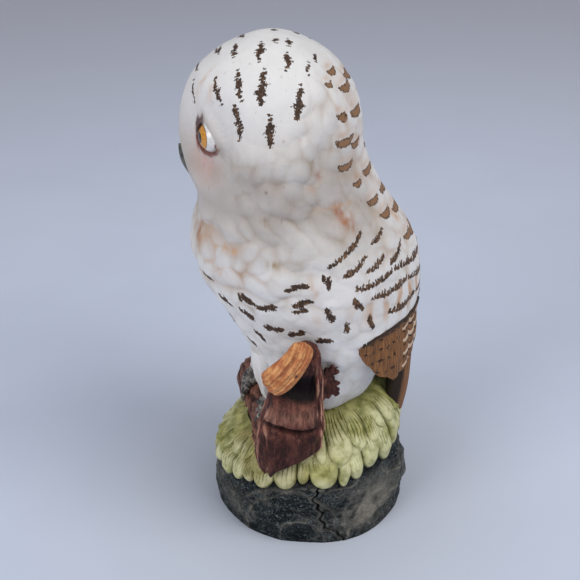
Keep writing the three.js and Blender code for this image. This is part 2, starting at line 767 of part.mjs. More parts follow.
addPiece('tail', fitted(tailBlade(0), owl, rock, ...primarySpaces), 'primaries');
addPiece('undertail_down', fitted(undertailDown(), owl, rock, tailSpace, ...primarySpaces), 'feathers');
addPiece('fallen_log', fitted(logBody(0), owl, stumpSpace), 'bark');
addPiece('log_far_end', logFarEnd(0), 'bark');
const wingSpace = wingCoverts(LEFT, JOINT_GAP);
addPiece('stump', fitted(stumpBody(0), rock, owl, wingSpace, stumpHollow(), capSpace), 'bark');
addPiece('stump_heartwood', fitted(heartwoodCap(0), owl, wingSpace), 'heartwood');
addPiece('bark_flake', fitted(barkFlake(), owl, stumpSpace), 'bark');

const leafCuts = [owl, logSpace, stumpSpace, rock, tailSpace, ...footSpaces];
for (let index = 0; index < LEAF_COUNT; index += 1) {
  const leaf = fitted(leafBody(index), ...leafCuts);
  addPiece(`leaf_${String(index + 1).padStart(2, '0')}`, leaf, 'leaves');
}

// The origin is the middle of the footprint, on the table.
const box = new THREE.Box3().setFromObject(figurine);
const middle = box.getCenter(new THREE.Vector3());
figurine.position.set(-middle.x, -middle.y, -box.min.z);
figurine.updateMatrixWorld(true);

export default figurine;
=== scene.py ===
import itertools
import math

import bpy
import numpy as np
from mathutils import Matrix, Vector


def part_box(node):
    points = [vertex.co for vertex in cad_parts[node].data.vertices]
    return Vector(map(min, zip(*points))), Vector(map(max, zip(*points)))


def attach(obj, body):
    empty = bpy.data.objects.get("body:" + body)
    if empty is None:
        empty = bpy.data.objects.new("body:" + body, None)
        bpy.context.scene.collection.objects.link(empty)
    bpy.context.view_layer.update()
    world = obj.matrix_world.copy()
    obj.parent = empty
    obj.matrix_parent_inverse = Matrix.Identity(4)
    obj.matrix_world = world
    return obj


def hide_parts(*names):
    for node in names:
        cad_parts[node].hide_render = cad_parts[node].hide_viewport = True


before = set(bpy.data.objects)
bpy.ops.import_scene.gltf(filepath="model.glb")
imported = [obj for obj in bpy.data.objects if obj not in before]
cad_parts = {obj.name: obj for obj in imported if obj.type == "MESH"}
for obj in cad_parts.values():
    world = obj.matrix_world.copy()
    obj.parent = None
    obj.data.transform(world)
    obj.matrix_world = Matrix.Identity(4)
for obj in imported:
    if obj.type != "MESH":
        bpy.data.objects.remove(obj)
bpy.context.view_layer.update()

# ---- Driving dimensions, from the frame -------------------------------------------------------

# The crown's height and the face's foremost place in the owl's own frame.
CROWN_Z = 176.8
FACE_Y = -36.4
HEAD_LOW, HEAD_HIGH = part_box("owl_head")
MM = HEAD_HIGH.z / CROWN_Z
AXIS = np.array([(HEAD_LOW.x + HEAD_HIGH.x) / 2, HEAD_LOW.y - FACE_Y * MM, 0.0])

TAU = 2 * math.pi
# Heights of the deck that the owl is luted to, and of the joint at its neck.
DECK_Z = 43.5
NECK_Z = 124.0
LEFT, RIGHT = 1, -1
UP = np.array([0, 0, 1.0])
SIDES = (("left", LEFT), ("right", RIGHT))


def placed(points):
    """Millimetres in the owl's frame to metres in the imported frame."""
    return np.asarray(points, float) * MM + AXIS


# ---- Number helpers ---------------------------------------------------------------------------

def smooth(t):
    """A soft step: 0 up to t = 0, and 1 from t = 1."""
    t = np.clip(t, 0.0, 1.0)
    return t * t * (3 - 2 * t)


def mix(a, b, t):
    """From a at t = 0 to b at t = 1."""
    return a + (b - a) * t


def bell(x, centre, width):
    """A soft bump, 1 at the centre and near 0 at two widths from it."""
    return np.exp(-((x - centre) / width) ** 2)


def vec(x, y, z):
    x, y, z = np.broadcast_arrays(x, y, z)
    return np.stack([x, y, z], axis=-1).astype(float)


def unit(v):
    return v / np.maximum(np.linalg.norm(v, axis=-1, keepdims=True), 1e-9)


def rows_at(rows, position):
    """Smooth interpolation through [position, value, ...] rows sorted by position."""
    rows = np.asarray(rows, float)
    x, values = rows[:, 0], rows[:, 1:]
    slopes = np.empty_like(values)
    slopes[1:-1] = (values[2:] - values[:-2]) / (x[2:] - x[:-2])[:, None]
    slopes[0] = (values[1] - values[0]) / (x[1] - x[0])
    slopes[-1] = (values[-1] - values[-2]) / (x[-1] - x[-2])
    at = np.clip(np.asarray(position, float), x[0], x[-1])
    i = np.clip(np.searchsorted(x, at, side="right") - 1, 0, len(x) - 2)
    span = x[i + 1] - x[i]
    t = ((at - x[i]) / span)[..., None]
    span = span[..., None]
    found = (values[i] * (2 * t**3 - 3 * t**2 + 1) + slopes[i] * span * (t**3 - 2 * t**2 + t)
             + values[i + 1] * (3 * t**2 - 2 * t**3) + slopes[i + 1] * span * (t**3 - t**2))
    return [found[..., k] for k in range(found.shape[-1])]


def scatter(a, b, c, seed):
    """A repeatable random value from -1 to 1 for each whole-number cell."""
    mixed = (a * 73856093) ^ (b * 19349663) ^ (c * 83492791) ^ (seed * 2654435)
    mixed = ((mixed ^ (mixed >> 13)) & 0x7FFFFFFF) * 1274126177
    mixed = mixed ^ (mixed >> 16)
    return (mixed & 0xFFFF) / 32767.5 - 1


def noise(points, size, seed):
    """Smooth random values from -1 to 1, in lumps about size mm across."""
    p = np.asarray(points, float) / size + 11.7 * seed
    cell = np.floor(p).astype(np.int64)
    f = p - cell
    f = f * f * (3 - 2 * f)
    total = 0.0
    for corner in itertools.product((0, 1), repeat=3):
        weight = math.prod(f[..., k] if corner[k] else 1 - f[..., k] for k in range(3))
        total = total + weight * scatter(*(cell[..., k] + corner[k] for k in range(3)), seed)
    return total


# ---- Mesh helpers -----------------------------------------------------------------------------

def tube_ways(rows, columns):
    """How far along a tube each point of its grid lies, 0 to 1, and its angle around."""
    turn = np.linspace(0, TAU, columns, endpoint=False)
    return np.meshgrid(np.linspace(0, 1, rows), turn, indexing="ij")


def plate_ways(columns, rows, first=0):
    """How far across a plate each point of its grid lies, first to 1, and how far along, 0 to 1."""
    return np.meshgrid(np.linspace(first, 1, columns), np.linspace(0, 1, rows))


def ring_ways(around, first, second):
    """Directions round a ring that starts at its first direction and turns to its second."""
    return np.cos(around)[..., None] * first + np.sin(around)[..., None] * second


def normals_of(grid, outward_from):
    """Unit normals of a closed tube's points, turned away from a point or a grid of points."""
    around = np.roll(grid, -1, axis=1) - np.roll(grid, 1, axis=1)
    found = unit(np.cross(around, np.gradient(grid, axis=0)))
    outward = np.sum(found * (grid - outward_from), axis=-1).mean()
    return found if outward > 0 else -found


def quads(rows, columns, wrap, start=0):
    """Corner indices of a grid's faces."""
    index = start + np.arange(rows * columns).reshape(rows, columns)
    if wrap:
        index = np.concatenate([index, index[:, :1]], axis=1)
    corners = [index[:-1, :-1], index[:-1, 1:], index[1:, 1:], index[1:, :-1]]
    return np.stack(corners, axis=-1).reshape(-1, 4)


def build_piece(name, points, faces, layers, look, node, crease=55):
    """A named mesh piece, in place, that stands for its CAD node and rides on the body."""
    mesh = bpy.data.meshes.new(name)
    mesh.from_pydata(placed(points).tolist(), [], [face.tolist() for face in faces])
    mesh.validate()
    for key, values in layers.items():
        values = np.asarray(values, np.float32)
        if values.ndim == 2:
            layer = mesh.attributes.new(key, "FLOAT_COLOR", "POINT")
            rgba = np.ones((len(values), 4), np.float32)
            rgba[:, :3] = values
            layer.data.foreach_set("color", rgba.ravel())
        else:
            layer = mesh.attributes.new(key, "FLOAT", "POINT")
            layer.data.foreach_set("value", values)
    mesh.shade_smooth()
    mesh.set_sharp_from_angle(angle=math.radians(crease))
    piece = bpy.data.objects.new(name, mesh)
    bpy.context.scene.collection.objects.link(piece)
    mesh.materials.append(LOOKS[look])
    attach(piece, "root")
    "claws" if look == "beak" else look
    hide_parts(node)


def signed_volume(points, quad_faces):
    """Six times the volume inside the faces: negative where they are inside out."""
    a, b, c, d = (points[quad_faces[:, k]] for k in range(4))
    one = np.einsum("ij,ij->i", a, np.cross(b, c))
    two = np.einsum("ij,ij->i", a, np.cross(c, d))
    return (one + two).sum()


def facing_out(points, sides, *ends):
    """The side and end faces, all flipped if the sides are inside out."""
    flip = signed_volume(points - points.mean(axis=0), sides) < 0
    return [faces[:, ::-1] if flip else faces for faces in (sides, *ends)]


def closed_tube(grid):
    """A tube's points, with the middles of its ends added, and its faces with a fan over each end."""
    rows, columns = grid.shape[:2]
    points = np.vstack([grid.reshape(-1, 3), grid[0].mean(axis=0), grid[-1].mean(axis=0)])
    around = np.arange(columns)
    following = (around + 1) % columns
    base, middle = (rows - 1) * columns, rows * columns
    low = np.stack([np.full(columns, middle), following, around], axis=-1)
    high = np.stack([np.full(columns, middle + 1), base + around, base + following], axis=-1)
    sides, low, high = facing_out(points, quads(rows, columns, True), low, high)
    return points, [*sides, *low, *high]


def numbers_or_colours(values):
    """Rows of three as colours, and anything else as plain numbers."""
    return values if values.shape[1] == 3 else values[:, 0]


def tube_piece(name, grid, layers, look, node, crease=55):
    """A closed piece from rings of points. layers hold one value for each grid point."""
    rows, columns = grid.shape[:2]
    flat = {}
    for key, values in layers.items():
        values = np.asarray(values, float).reshape(rows, columns, -1)
        flat[key] = numbers_or_colours(np.vstack([values.reshape(rows * columns, -1),
                                                  values[0].mean(axis=0), values[-1].mean(axis=0)]))
    build_piece(name, *closed_tube(grid), flat, look, node, crease)


def plate_parts(outer, inner, layers):
    """The points, faces and layers of a closed plate between two grids of points."""
    rows, columns = outer.shape[:2]
    count = rows * columns
    points = np.vstack([outer.reshape(-1, 3), inner.reshape(-1, 3)])
    front = quads(rows, columns, False)
    back = quads(rows, columns, False, count)[:, ::-1]
    index = np.arange(count).reshape(rows, columns)
    rim = np.concatenate([index[0, :], index[1:, -1], index[-1, -2::-1], index[-2:0:-1, 0]])
    following = np.roll(rim, -1)
    edge = np.stack([rim, rim + count, following + count, following], axis=-1)
    faces, = facing_out(points, np.vstack([front, back, edge]))
    flat = {}
    for key, values in layers.items():
        body = np.asarray(values, float).reshape(count, -1)
        flat[key] = numbers_or_colours(np.vstack([body, body]))
    return points, faces, flat


def plate_piece(name, outer, inner, layers, look, node):
    """A closed plate between two grids of points. layers hold one value for each outer point."""
    build_piece(name, *plate_parts(outer, inner, layers), look, node)


# ---- Node helpers -----------------------------------------------------------------------------

def rgb(red, green, blue):
    """A colour as seen on screen, 0 to 255, to linear light."""
    seen = np.array([red, green, blue]) / 255
    return np.where(seen <= 0.04045, seen / 12.92, ((seen + 0.055) / 1.055) ** 2.4)


def rgba(colour):
    return (*[float(c) for c in colour], 1.0)


class Recipe:
    """One material, built up from nodes."""

    def __init__(self, name):
        self.material = bpy.data.materials.new(name)
        self.material.use_nodes = True
        self.tree = self.material.node_tree
        self.shader = self.tree.nodes["Principled BSDF"]
        geometry = self.add("ShaderNodeTexCoord")
        self.place = self.vector_math("MULTIPLY", geometry.outputs["Object"], (1000, 1000, 1000))

    def add(self, kind, inputs=(), **settings):
        node = self.tree.nodes.new(kind)
        for key, value in settings.items():
            setattr(node, key, value)
        for key, value in dict(inputs).items():
            self.feed(node.inputs[key], value)
        return node

    def feed(self, socket, value):
        if isinstance(value, bpy.types.NodeSocket):
            self.tree.links.new(value, socket)
        else:
            socket.default_value = value

    def vector_math(self, operation, a, b):
        return self.add("ShaderNodeVectorMath", {0: a, 1: b}, operation=operation).outputs[0]

    def math(self, operation, a, b=0.0, clamp=False):
        return self.add("ShaderNodeMath", {0: a, 1: b}, operation=operation,
                        use_clamp=clamp).outputs[0]

    def stretched(self, x, y, z):
        return self.vector_math("MULTIPLY", self.place, (x, y, z))

    def noise(self, size, vector=None, detail=3.0, rough=0.55, twist=0.0):
        """Values from 0 to 1 in lumps about size mm across."""
        inputs = {"Vector": vector or self.place, "Scale": 1 / size, "Detail": detail,
                  "Roughness": rough, "Distortion": twist}
        return self.add("ShaderNodeTexNoise", inputs).outputs["Fac"]

    def layer(self, name, output="Fac"):
        return self.add("ShaderNodeAttribute", attribute_name=name).outputs[output]

    def ramp(self, value, low, high, start=0.0, end=1.0):
        inputs = {"Value": value, "From Min": low, "From Max": high, "To Min": start, "To Max": end}
        return self.add("ShaderNodeMapRange", inputs, interpolation_type="SMOOTHSTEP").outputs[0]

    def blend(self, amount, a, b, mode="MIX"):
        node = self.add("ShaderNodeMix", data_type="RGBA", blend_type=mode)
        self.feed(node.inputs[0], amount)
        self.feed(node.inputs[6], a if isinstance(a, bpy.types.NodeSocket) else rgba(a))
        self.feed(node.inputs[7], b if isinstance(b, bpy.types.NodeSocket) else rgba(b))
        return node.outputs[2]

    def bump(self, height, depth, normal=None):
        """depth is the height in mm that a value of 1 stands for."""
        inputs = {"Height": height, "Distance": depth * MM, "Strength": 1.0}
        if normal is not None:
            inputs["Normal"] = normal
        return self.add("ShaderNodeBump", inputs).outputs[0]

    def finish(self, colour, roughness, normal, coat=0.0, specular=0.5):
        self.feed(self.shader.inputs["Base Color"], colour)
        self.feed(self.shader.inputs["Roughness"], roughness)
        self.feed(self.shader.inputs["Normal"], normal)
        self.shader.inputs["Coat Weight"].default_value = coat
        self.shader.inputs["Specular IOR Level"].default_value = specular
        return self.material


# ---- Materials --------------------------------------------------------------------------------

INK = rgb(58, 40, 27)
INK_THIN = rgb(118, 86, 58)


def bisque_grain(recipe, depth=0.02):
    """The fine grain of unglazed porcelain."""
    return recipe.bump(recipe.noise(0.28, detail=2.0), depth)


def ink_amount(recipe, fray=0.26, key="ink"):
    """Where the brush left ink: the painted strokes with torn, dry edges."""
    fine = recipe.noise(0.7, recipe.stretched(1.2, 1.2, 0.8), detail=2.0, rough=0.6)
    torn = recipe.ramp(fine, 0.25, 0.75, -fray, fray)
    return recipe.ramp(recipe.math("ADD", recipe.layer(key), torn), -0.04, 0.1)


def ink_colour(recipe):
    worn = recipe.noise(0.9, recipe.stretched(1.0, 1.0, 0.6), detail=4.0, rough=0.75)
    thin = recipe.math("ADD", worn, recipe.math("MULTIPLY", recipe.layer("worn"), 0.06))
    return recipe.blend(recipe.ramp(thin, 0.48, 0.68), INK, INK_THIN)


def feather_material():
    """White bisque with the washes painted into its hollows, deepened there as painted shade, and brown
    brush marks on top.
    """
    recipe = Recipe("painted_feathers")
    cloud = recipe.noise(5.0, detail=4.0, rough=0.6)
    fine = recipe.noise(0.6, recipe.stretched(1.6, 1.6, 0.35), detail=2.0)
    shade = recipe.math("ADD", recipe.ramp(cloud, 0.2, 0.8, 0.955, 1.02),
                        recipe.ramp(fine, 0.3, 0.7, -0.018, 0.012))
    tone = recipe.add("ShaderNodeCombineColor", {0: shade, 1: shade, 2: shade}).outputs[0]
    # This layer holds the painted washes together with the painted shade in the hollows.
    wash = recipe.blend(1.0, recipe.layer("wash", "Color"), tone, "MULTIPLY")
    ink = ink_amount(recipe)
    colour = recipe.blend(ink, wash, ink_colour(recipe))
    bowl = ink_amount(recipe, 0.3, "bowl")
    streak = recipe.noise(0.8, recipe.stretched(2.0, 2.0, 0.5), detail=3.0)
    inner = recipe.math("ADD", recipe.layer("bowl"), recipe.ramp(streak, 0.3, 0.7, -0.5, 0.5))
    filled = recipe.blend(recipe.ramp(inner, 0.1, 0.55), INK, rgb(146, 110, 78))
    colour = recipe.blend(bowl, colour, filled)
    barbs = recipe.noise(1.0, recipe.stretched(2.2, 2.2, 0.22), detail=2.0, twist=0.4)
    normal = recipe.bump(barbs, 0.06, bisque_grain(recipe))
    roughness = recipe.math("ADD", recipe.ramp(cloud, 0.2, 0.8, 0.5, 0.62),
                            recipe.math("MULTIPLY", ink, 0.08))
    return recipe.finish(colour, roughness, normal, specular=0.4)


def primary_material():
    """Brown flight feathers: fine lengthwise barbs, pale flecks and small black ticks."""
    recipe = Recipe("painted_primaries")
    barbs = recipe.noise(1.0, recipe.stretched(3.0, 3.0, 0.16), detail=4.0, rough=0.65)
    patch = recipe.noise(6.0, recipe.stretched(1.0, 1.0, 0.4), detail=2.0)
    brown = recipe.blend(recipe.ramp(barbs, 0.32, 0.68), rgb(86, 54, 29), rgb(166, 114, 68))
    brown = recipe.blend(recipe.ramp(patch, 0.35, 0.7, 0.0, 0.5), brown, rgb(116, 76, 42))
    pale = recipe.ramp(recipe.math("ADD", recipe.layer("pale"),
                                   recipe.math("MULTIPLY", recipe.noise(0.8), 0.5)), 0.6, 0.85)
    brown = recipe.blend(pale, brown, rgb(214, 186, 158))
    brown = recipe.blend(recipe.layer("shadow"), brown, rgb(30, 22, 16))
    ink = ink_amount(recipe, 0.3)
    colour = recipe.blend(ink, brown, rgb(32, 24, 18))
    normal = recipe.bump(barbs, 0.22, bisque_grain(recipe))
    roughness = recipe.ramp(barbs, 0.3, 0.7, 0.5, 0.68)
    return recipe.finish(colour, roughness, normal, specular=0.35)


def bark_material():
    """Reddish brown stain, darker in the grooves, near black in the snag's torn hollow as painted shadow,
    and speckled on the high grain.
    """
    recipe = Recipe("stained_bark")
    grain = recipe.noise(1.5, recipe.stretched(1.5, 1.5, 0.3), detail=5.0, rough=0.6, twist=0.7)
    cloud = recipe.noise(4.0, detail=3.0)
    speck = recipe.noise(0.42, detail=3.0, rough=0.7)
    base = recipe.blend(recipe.ramp(cloud, 0.35, 0.68), rgb(60, 30, 27), rgb(106, 60, 50))
    base = recipe.blend(recipe.ramp(grain, 0.5, 0.72, 0.0, 0.5), base, rgb(142, 92, 78))
    base = recipe.blend(recipe.ramp(speck, 0.56, 0.7, 0.0, 0.45), base, rgb(176, 132, 116))
    # The stripe layer also carries the painted highlight on the snag's lip.
    stripe = recipe.math("MULTIPLY", recipe.layer("stripe"), recipe.ramp(grain, 0.36, 0.56, 0.3, 1.0))
    base = recipe.blend(stripe, base, rgb(196, 146, 122))
    # Darker in the grooves, and near black where the hollow layer paints the shadow in the snag's torn
    # hollow.
    dark = recipe.math("ADD", recipe.layer("hollow"), recipe.ramp(grain, 0.2, 0.44, 0.4, 0.0),
                       clamp=True)
    colour = recipe.blend(dark, base, rgb(18, 8, 9))
    normal = recipe.bump(grain, 0.3, recipe.bump(speck, 0.1))
    return recipe.finish(colour, recipe.ramp(speck, 0.3, 0.7, 0.5, 0.72), normal, specular=0.18)


def heartwood_material():
    """Torn pale heartwood: orange tan, with reddish grain lines that follow its curl."""
    recipe = Recipe("torn_heartwood")
    line = recipe.layer("grain")
    waver = recipe.noise(2.6, detail=3.0)
    phase = recipe.math("ADD", recipe.math("MULTIPLY", line, 2.1), recipe.math("MULTIPLY", waver, 6.0))
    stripe = recipe.math("SINE", phase)
    fine = recipe.noise(0.5, detail=3.0)
    base = recipe.blend(recipe.ramp(waver, 0.36, 0.64), rgb(224, 160, 100), rgb(186, 112, 66))
    cut = recipe.math("MULTIPLY", recipe.ramp(stripe, 0.35, 1.0, 0.0, 0.7), recipe.ramp(fine, 0.3, 0.6))
    base = recipe.blend(cut, base, rgb(136, 72, 44))
    # The hollow layer darkens the groove and the knot, and paints shade on the underside.
    colour = recipe.blend(recipe.layer("hollow"), base, rgb(78, 36, 30))
    normal = recipe.bump(stripe, 0.14, recipe.bump(fine, 0.14))
    return recipe.finish(colour, recipe.ramp(fine, 0.3, 0.7, 0.48, 0.66), normal, specular=0.4)


def leaf_material():
    """Pale yellow green, with dark green left in the veins and washed brown beside the log, a painted
    highlight on each puffed lobe, and painted shade at the edges, between the lobes and at the roots.
    """
    recipe = Recipe("painted_leaves")
    patch = recipe.noise(3.2, detail=4.0, rough=0.6)
    fine = recipe.noise(0.6, detail=4.0, rough=0.7)
    base = recipe.blend(recipe.ramp(patch, 0.34, 0.66), rgb(128, 128, 62), rgb(182, 178, 112))
    # Painted highlight: paler on the puffed middles of the lobes.
    light = recipe.math("MULTIPLY", recipe.layer("pale"), recipe.ramp(patch, 0.3, 0.6, 0.35, 1.0))
    base = recipe.blend(light, base, rgb(216, 214, 166))
    green = recipe.math("MULTIPLY", recipe.layer("vein"), recipe.ramp(fine, 0.32, 0.58, 0.25, 1.0))
    base = recipe.blend(green, base, rgb(58, 72, 24))
    # The hollow layer paints shade at the edges, between the lobes and at the roots.
    base = recipe.blend(recipe.layer("hollow"), base, rgb(48, 56, 24))
    tan = recipe.math("MULTIPLY", recipe.layer("stain"), recipe.ramp(patch, 0.3, 0.6, 0.45, 1.0))
    colour = recipe.blend(tan, base, rgb(122, 84, 54))
    normal = recipe.bump(fine, 0.1, bisque_grain(recipe))
    return recipe.finish(colour, recipe.ramp(fine, 0.3, 0.7, 0.42, 0.62), normal, specular=0.45)


def rock_material():
    """Near black blue green stain, dry-brushed pale over its scratches and high places, with painted shade
    in its hollows.
    """
    recipe = Recipe("stained_rock")
    grit = recipe.noise(1.0, detail=5.0, rough=0.85)
    lumps = recipe.noise(3.2, detail=4.0, rough=0.6)
    scratch = recipe.noise(2.6, recipe.stretched(0.8, 0.8, 1.6), detail=7.0, rough=0.85, twist=3.0)
    fleck = recipe.math("MULTIPLY", recipe.ramp(scratch, 0.48, 0.56), recipe.ramp(grit, 0.46, 0.58))
    base = recipe.blend(recipe.ramp(lumps, 0.3, 0.7), rgb(8, 13, 16), rgb(16, 24, 28))
    base = recipe.blend(recipe.math("MULTIPLY", fleck, 0.85), base, rgb(138, 154, 156))
    pale = recipe.math("MULTIPLY", recipe.layer("pale"), recipe.ramp(scratch, 0.34, 0.56, 0.45, 1.0))
    base = recipe.blend(pale, base, rgb(166, 160, 146))
    # The hollow layer is painted shade.
    colour = recipe.blend(recipe.layer("hollow"), base, rgb(7, 10, 11))
    normal = recipe.bump(scratch, 1.1, recipe.bump(grit, 0.4))
    return recipe.finish(colour, recipe.ramp(grit, 0.3, 0.7, 0.34, 0.58), normal, specular=0.2)


def claw_material():
    """Grey scaly skin, darker in the creases, with pale brushed highlights."""
    recipe = Recipe("painted_claws")
    speck = recipe.noise(0.8, detail=4.0, rough=0.7)
    base = recipe.blend(recipe.ramp(speck, 0.38, 0.62), rgb(58, 54, 50), rgb(158, 150, 140))
    dark = recipe.layer("hollow")
    colour = recipe.blend(dark, base, rgb(34, 32, 28))
    normal = recipe.bump(speck, 0.15, bisque_grain(recipe))
    return recipe.finish(colour, recipe.ramp(speck, 0.3, 0.7, 0.4, 0.6), normal, specular=0.45)


def beak_material():
    """Dark olive grey, with a satin sheen."""
    recipe = Recipe("painted_beak")
    cloud = recipe.noise(2.0, recipe.stretched(1.0, 1.0, 0.5), detail=3.0)
    base = recipe.blend(recipe.ramp(cloud, 0.3, 0.7), rgb(58, 58, 50), rgb(104, 104, 92))
    colour = recipe.blend(recipe.layer("hollow"), base, rgb(26, 26, 24))
    normal = recipe.bump(cloud, 0.1, bisque_grain(recipe, 0.015))
    return recipe.finish(colour, recipe.ramp(cloud, 0.3, 0.7, 0.32, 0.48), normal, specular=0.5)


def eye_material():
    """Glossy enamel rings: black pupil, amber iris and the white of the eye."""
    recipe = Recipe("enamelled_eye")
    ring = recipe.layer("gaze")
    brush = recipe.noise(0.6, detail=3.0)
    wavy = recipe.math("ADD", ring, recipe.ramp(brush, 0.3, 0.7, -0.6, 0.6))
    amber = recipe.blend(recipe.ramp(brush, 0.3, 0.7), rgb(222, 160, 56), rgb(190, 122, 36))
    white = recipe.blend(recipe.ramp(brush, 0.3, 0.7), rgb(236, 234, 230), rgb(214, 210, 206))
    colour = recipe.blend(recipe.ramp(wavy, 43.0, 44.5), amber, rgb(60, 38, 24))
    colour = recipe.blend(recipe.ramp(wavy, 45.0, 46.5), colour, white)
    colour = recipe.blend(recipe.ramp(wavy, 19.5, 21.0), rgb(16, 12, 12), colour)
    normal = recipe.bump(brush, 0.02)
    return recipe.finish(colour, recipe.ramp(brush, 0.3, 0.7, 0.16, 0.26), normal, coat=0.4)


# ---- Owl skin ---------------------------------------------------------------------------------

# Height, front Y, back Y and half width of the owl, from its seat over the rounded crown.
SECTIONS = np.array((
    (43.5, -8, 24, 19.5), (52, -10.5, 31, 24.5), (62, -12.6, 36, 27.8), (72, -16.8, 40.2, 30),
    (82, -22.6, 42.8, 31.6), (92, -28.7, 43.6, 32.8), (102, -31.8, 42.4, 33),
    (111, -31.6, 38.8, 32.2), (118.5, -30, 34.6, 30.8), (126, -32, 29.6, 29.6),
    (134, -35, 25.6, 29.2), (142, -36.4, 23.4, 29.2), (150, -36.3, 22.2, 28.8),
    (158, -34.3, 20.2, 27.2), (165, -30.6, 16.6, 23.8), (171, -23.6, 10.8, 18.2),
    (175, -15.4, 3.4, 11.2), (176.4, -10.2, -1.8, 5.8), (CROWN_Z, -6, -6, 0),
))


def section_table():
    """The owl's sections, dense and evenly spaced along its outline."""
    steps = np.diff(SECTIONS, axis=0)
    run = np.hypot(steps[:, 0], np.hypot(steps[:, 3], (steps[:, 2] - steps[:, 1]) / 2))
    along = np.concatenate([[0], np.cumsum(run)])
    dense = np.linspace(0, along[-1], 2400)
    return dense, rows_at(np.column_stack([along, SECTIONS]), dense)


TABLE_RUN, (TABLE_Z, TABLE_FRONT, TABLE_BACK, TABLE_HALF) = section_table()


def face_roundness(z):
    """How square a level section is in front: 2 is an ellipse, less gives the face a wedge."""
    return 2 - 0.5 * smooth((z - 126) / 12) * smooth((168 - z) / 12)


def owl_from(angle, z, front, back, half, offset=0.0):
    """A point on a level section of the owl, offset mm outside it."""
    facing = np.maximum(0, np.cos(angle))
    power = 2 / mix(2, face_roundness(z), np.minimum(1, 2 * facing))
    side = np.sign(np.sin(angle)) * np.abs(np.sin(angle)) ** power
    ahead = np.sign(np.cos(angle)) * np.abs(np.cos(angle)) ** power
    return vec((half + offset) * side, (front + back) / 2 - ((back - front) / 2 + offset) * ahead, z)


def owl(angle, z, offset=0.0):
    """A point on the owl's skin, at an angle from its front towards its left."""
    angle, z = np.broadcast_arrays(angle, z)
    front = np.interp(z, TABLE_Z, TABLE_FRONT)
    back = np.interp(z, TABLE_Z, TABLE_BACK)
    half = np.interp(z, TABLE_Z, TABLE_HALF)
    return owl_from(angle, z, front, back, half, offset)


def owl_normal(angle, z):
    around = owl(angle + 0.01, z) - owl(angle - 0.01, z)
    along = owl(angle, z + 0.3) - owl(angle, z - 0.3)
    return unit(np.cross(around, along))


# ---- Plumage relief ---------------------------------------------------------------------------

def cells_near(angle, z, columns, row_height, seed, rows_down):
    """The cells of a staggered pattern that may cover each place: row, middle and three chances."""
    width = TAU / columns
    row_here = np.floor(z / row_height).astype(np.int64)
    for down in rows_down:
        row = row_here + down
        shift = 0.5 * (row % 2)
        column_here = np.floor(angle / width - shift).astype(np.int64)
        for over in (-1, 0, 1):
            column = column_here + over
            cell = np.mod(column, columns)
            chances = [scatter(row, cell, row * 0, seed + k) for k in range(3)]
            yield row, column + 0.5 + shift, *chances


def feathers(angle, z, columns, row_height, seed, rim):
    """Overlapping rounded feathers, 0 to about 1: each slopes up to its lower rim, then steps down."""
    width = TAU / columns
    overlap = 2.5 * row_height
    best = np.zeros(np.shape(angle))
    cells = cells_near(angle, z, columns, row_height, seed, (-2, -1, 0, 1))
    for row, middle, aside, lower, tall in cells:
        across = (angle - (middle + 0.22 * aside) * width) / (0.62 * width)
        tip = (row + 0.25 * lower) * row_height + 0.42 * row_height * across**2
        body = (1 + 0.2 * tall) * (1 - (z - tip) / overlap)
        shape = body * smooth((z - tip) / rim) * smooth((1.12 - np.abs(across)) / 0.3)
        best = np.maximum(best, shape * (1 - 0.25 * across**2))
    return best


def clumps(angle, z, columns, row_height, seed):
    """Puffy downy clumps, 0 to about 1: domes that meet in narrow valleys."""
    width = TAU / columns
    best = np.zeros(np.shape(angle))
    for row, middle, aside, lower, tall in cells_near(angle, z, columns, row_height, seed, (-1, 0, 1)):
        across = (angle - (middle + 0.28 * aside) * width) / (0.74 * width)
        above = (z - (row + 0.5 + 0.28 * lower) * row_height) / (0.78 * row_height)
        above = np.where(above < 0, above * 1.3, above * 0.68)
        dome = np.maximum(1 - across**2 - above**2, 0) ** 0.85
        best = np.maximum(best, (1 + 0.25 * tall) * dome)
    return best


def plumage(angle, z):
    """Height of the moulded plumage over the skin in mm, and how deep each place lies, 0 to 1."""
    place = owl(angle, z)
    turn = np.abs(np.mod(angle + math.pi, TAU) - math.pi)
    drift = noise(place, 12, 3)
    sway = noise(place, 9, 4)
    fret = noise(place, 4, 6)
    wide = clumps(angle + 0.1 * drift + 0.03 * fret, z + 2.8 * sway + 0.8 * fret, 17, 9.8, 21)
    lobes = clumps(angle + 0.12 * sway - 0.035 * fret, z - 2.4 * drift + 0.9 * fret, 27, 6.6, 25)
    tiles = feathers(angle + 0.09 * drift, z + 2.4 * sway + 0.5 * fret, 23, 7.2, 31, rim=1.8)
    small = feathers(angle - 0.07 * sway, z + 1.6 * drift + 0.4 * fret, 36, 4.8, 41, rim=1.0)
    back = smooth((turn - 1.9) / 0.8)
    crown = 1 - smooth((z - mix(139, 160, smooth((turn - 1.5) / 0.9))) / 17)
    face = smooth((turn - 0.95) / 0.25) + 1 - smooth((z - 120) / 6)
    breast = smooth((z - 80) / 20) * (1 - back)
    belly = 1 - smooth((z - 62) / 16)
    strength = crown * np.clip(face, 0, 1) * mix(1.0, 0.8, belly)
    puffy = mix(0.65, 1.5, breast) * wide + mix(0.4, 0.6, breast) * lobes + 0.25 * small
    laid = 0.3 * tiles + 0.3 * lobes + 0.4 * wide + 0.2 * small
    height = strength * mix(puffy, laid, back)
    swell = 0.7 * noise(place, 15, 7) + 0.45 * noise(place, 6, 8)
    swell = swell * mix(0.45, 1, crown)
    valleys = np.maximum(1.0 - 1.15 * lobes, 0.8 * (1.0 - 1.15 * wide))
    depth = np.clip(mix(valleys, 0.9 * valleys + 0.5 - 0.6 * tiles, back), 0, 1) * strength
    return height + swell, depth


# ---- Eyes and face ----------------------------------------------------------------------------

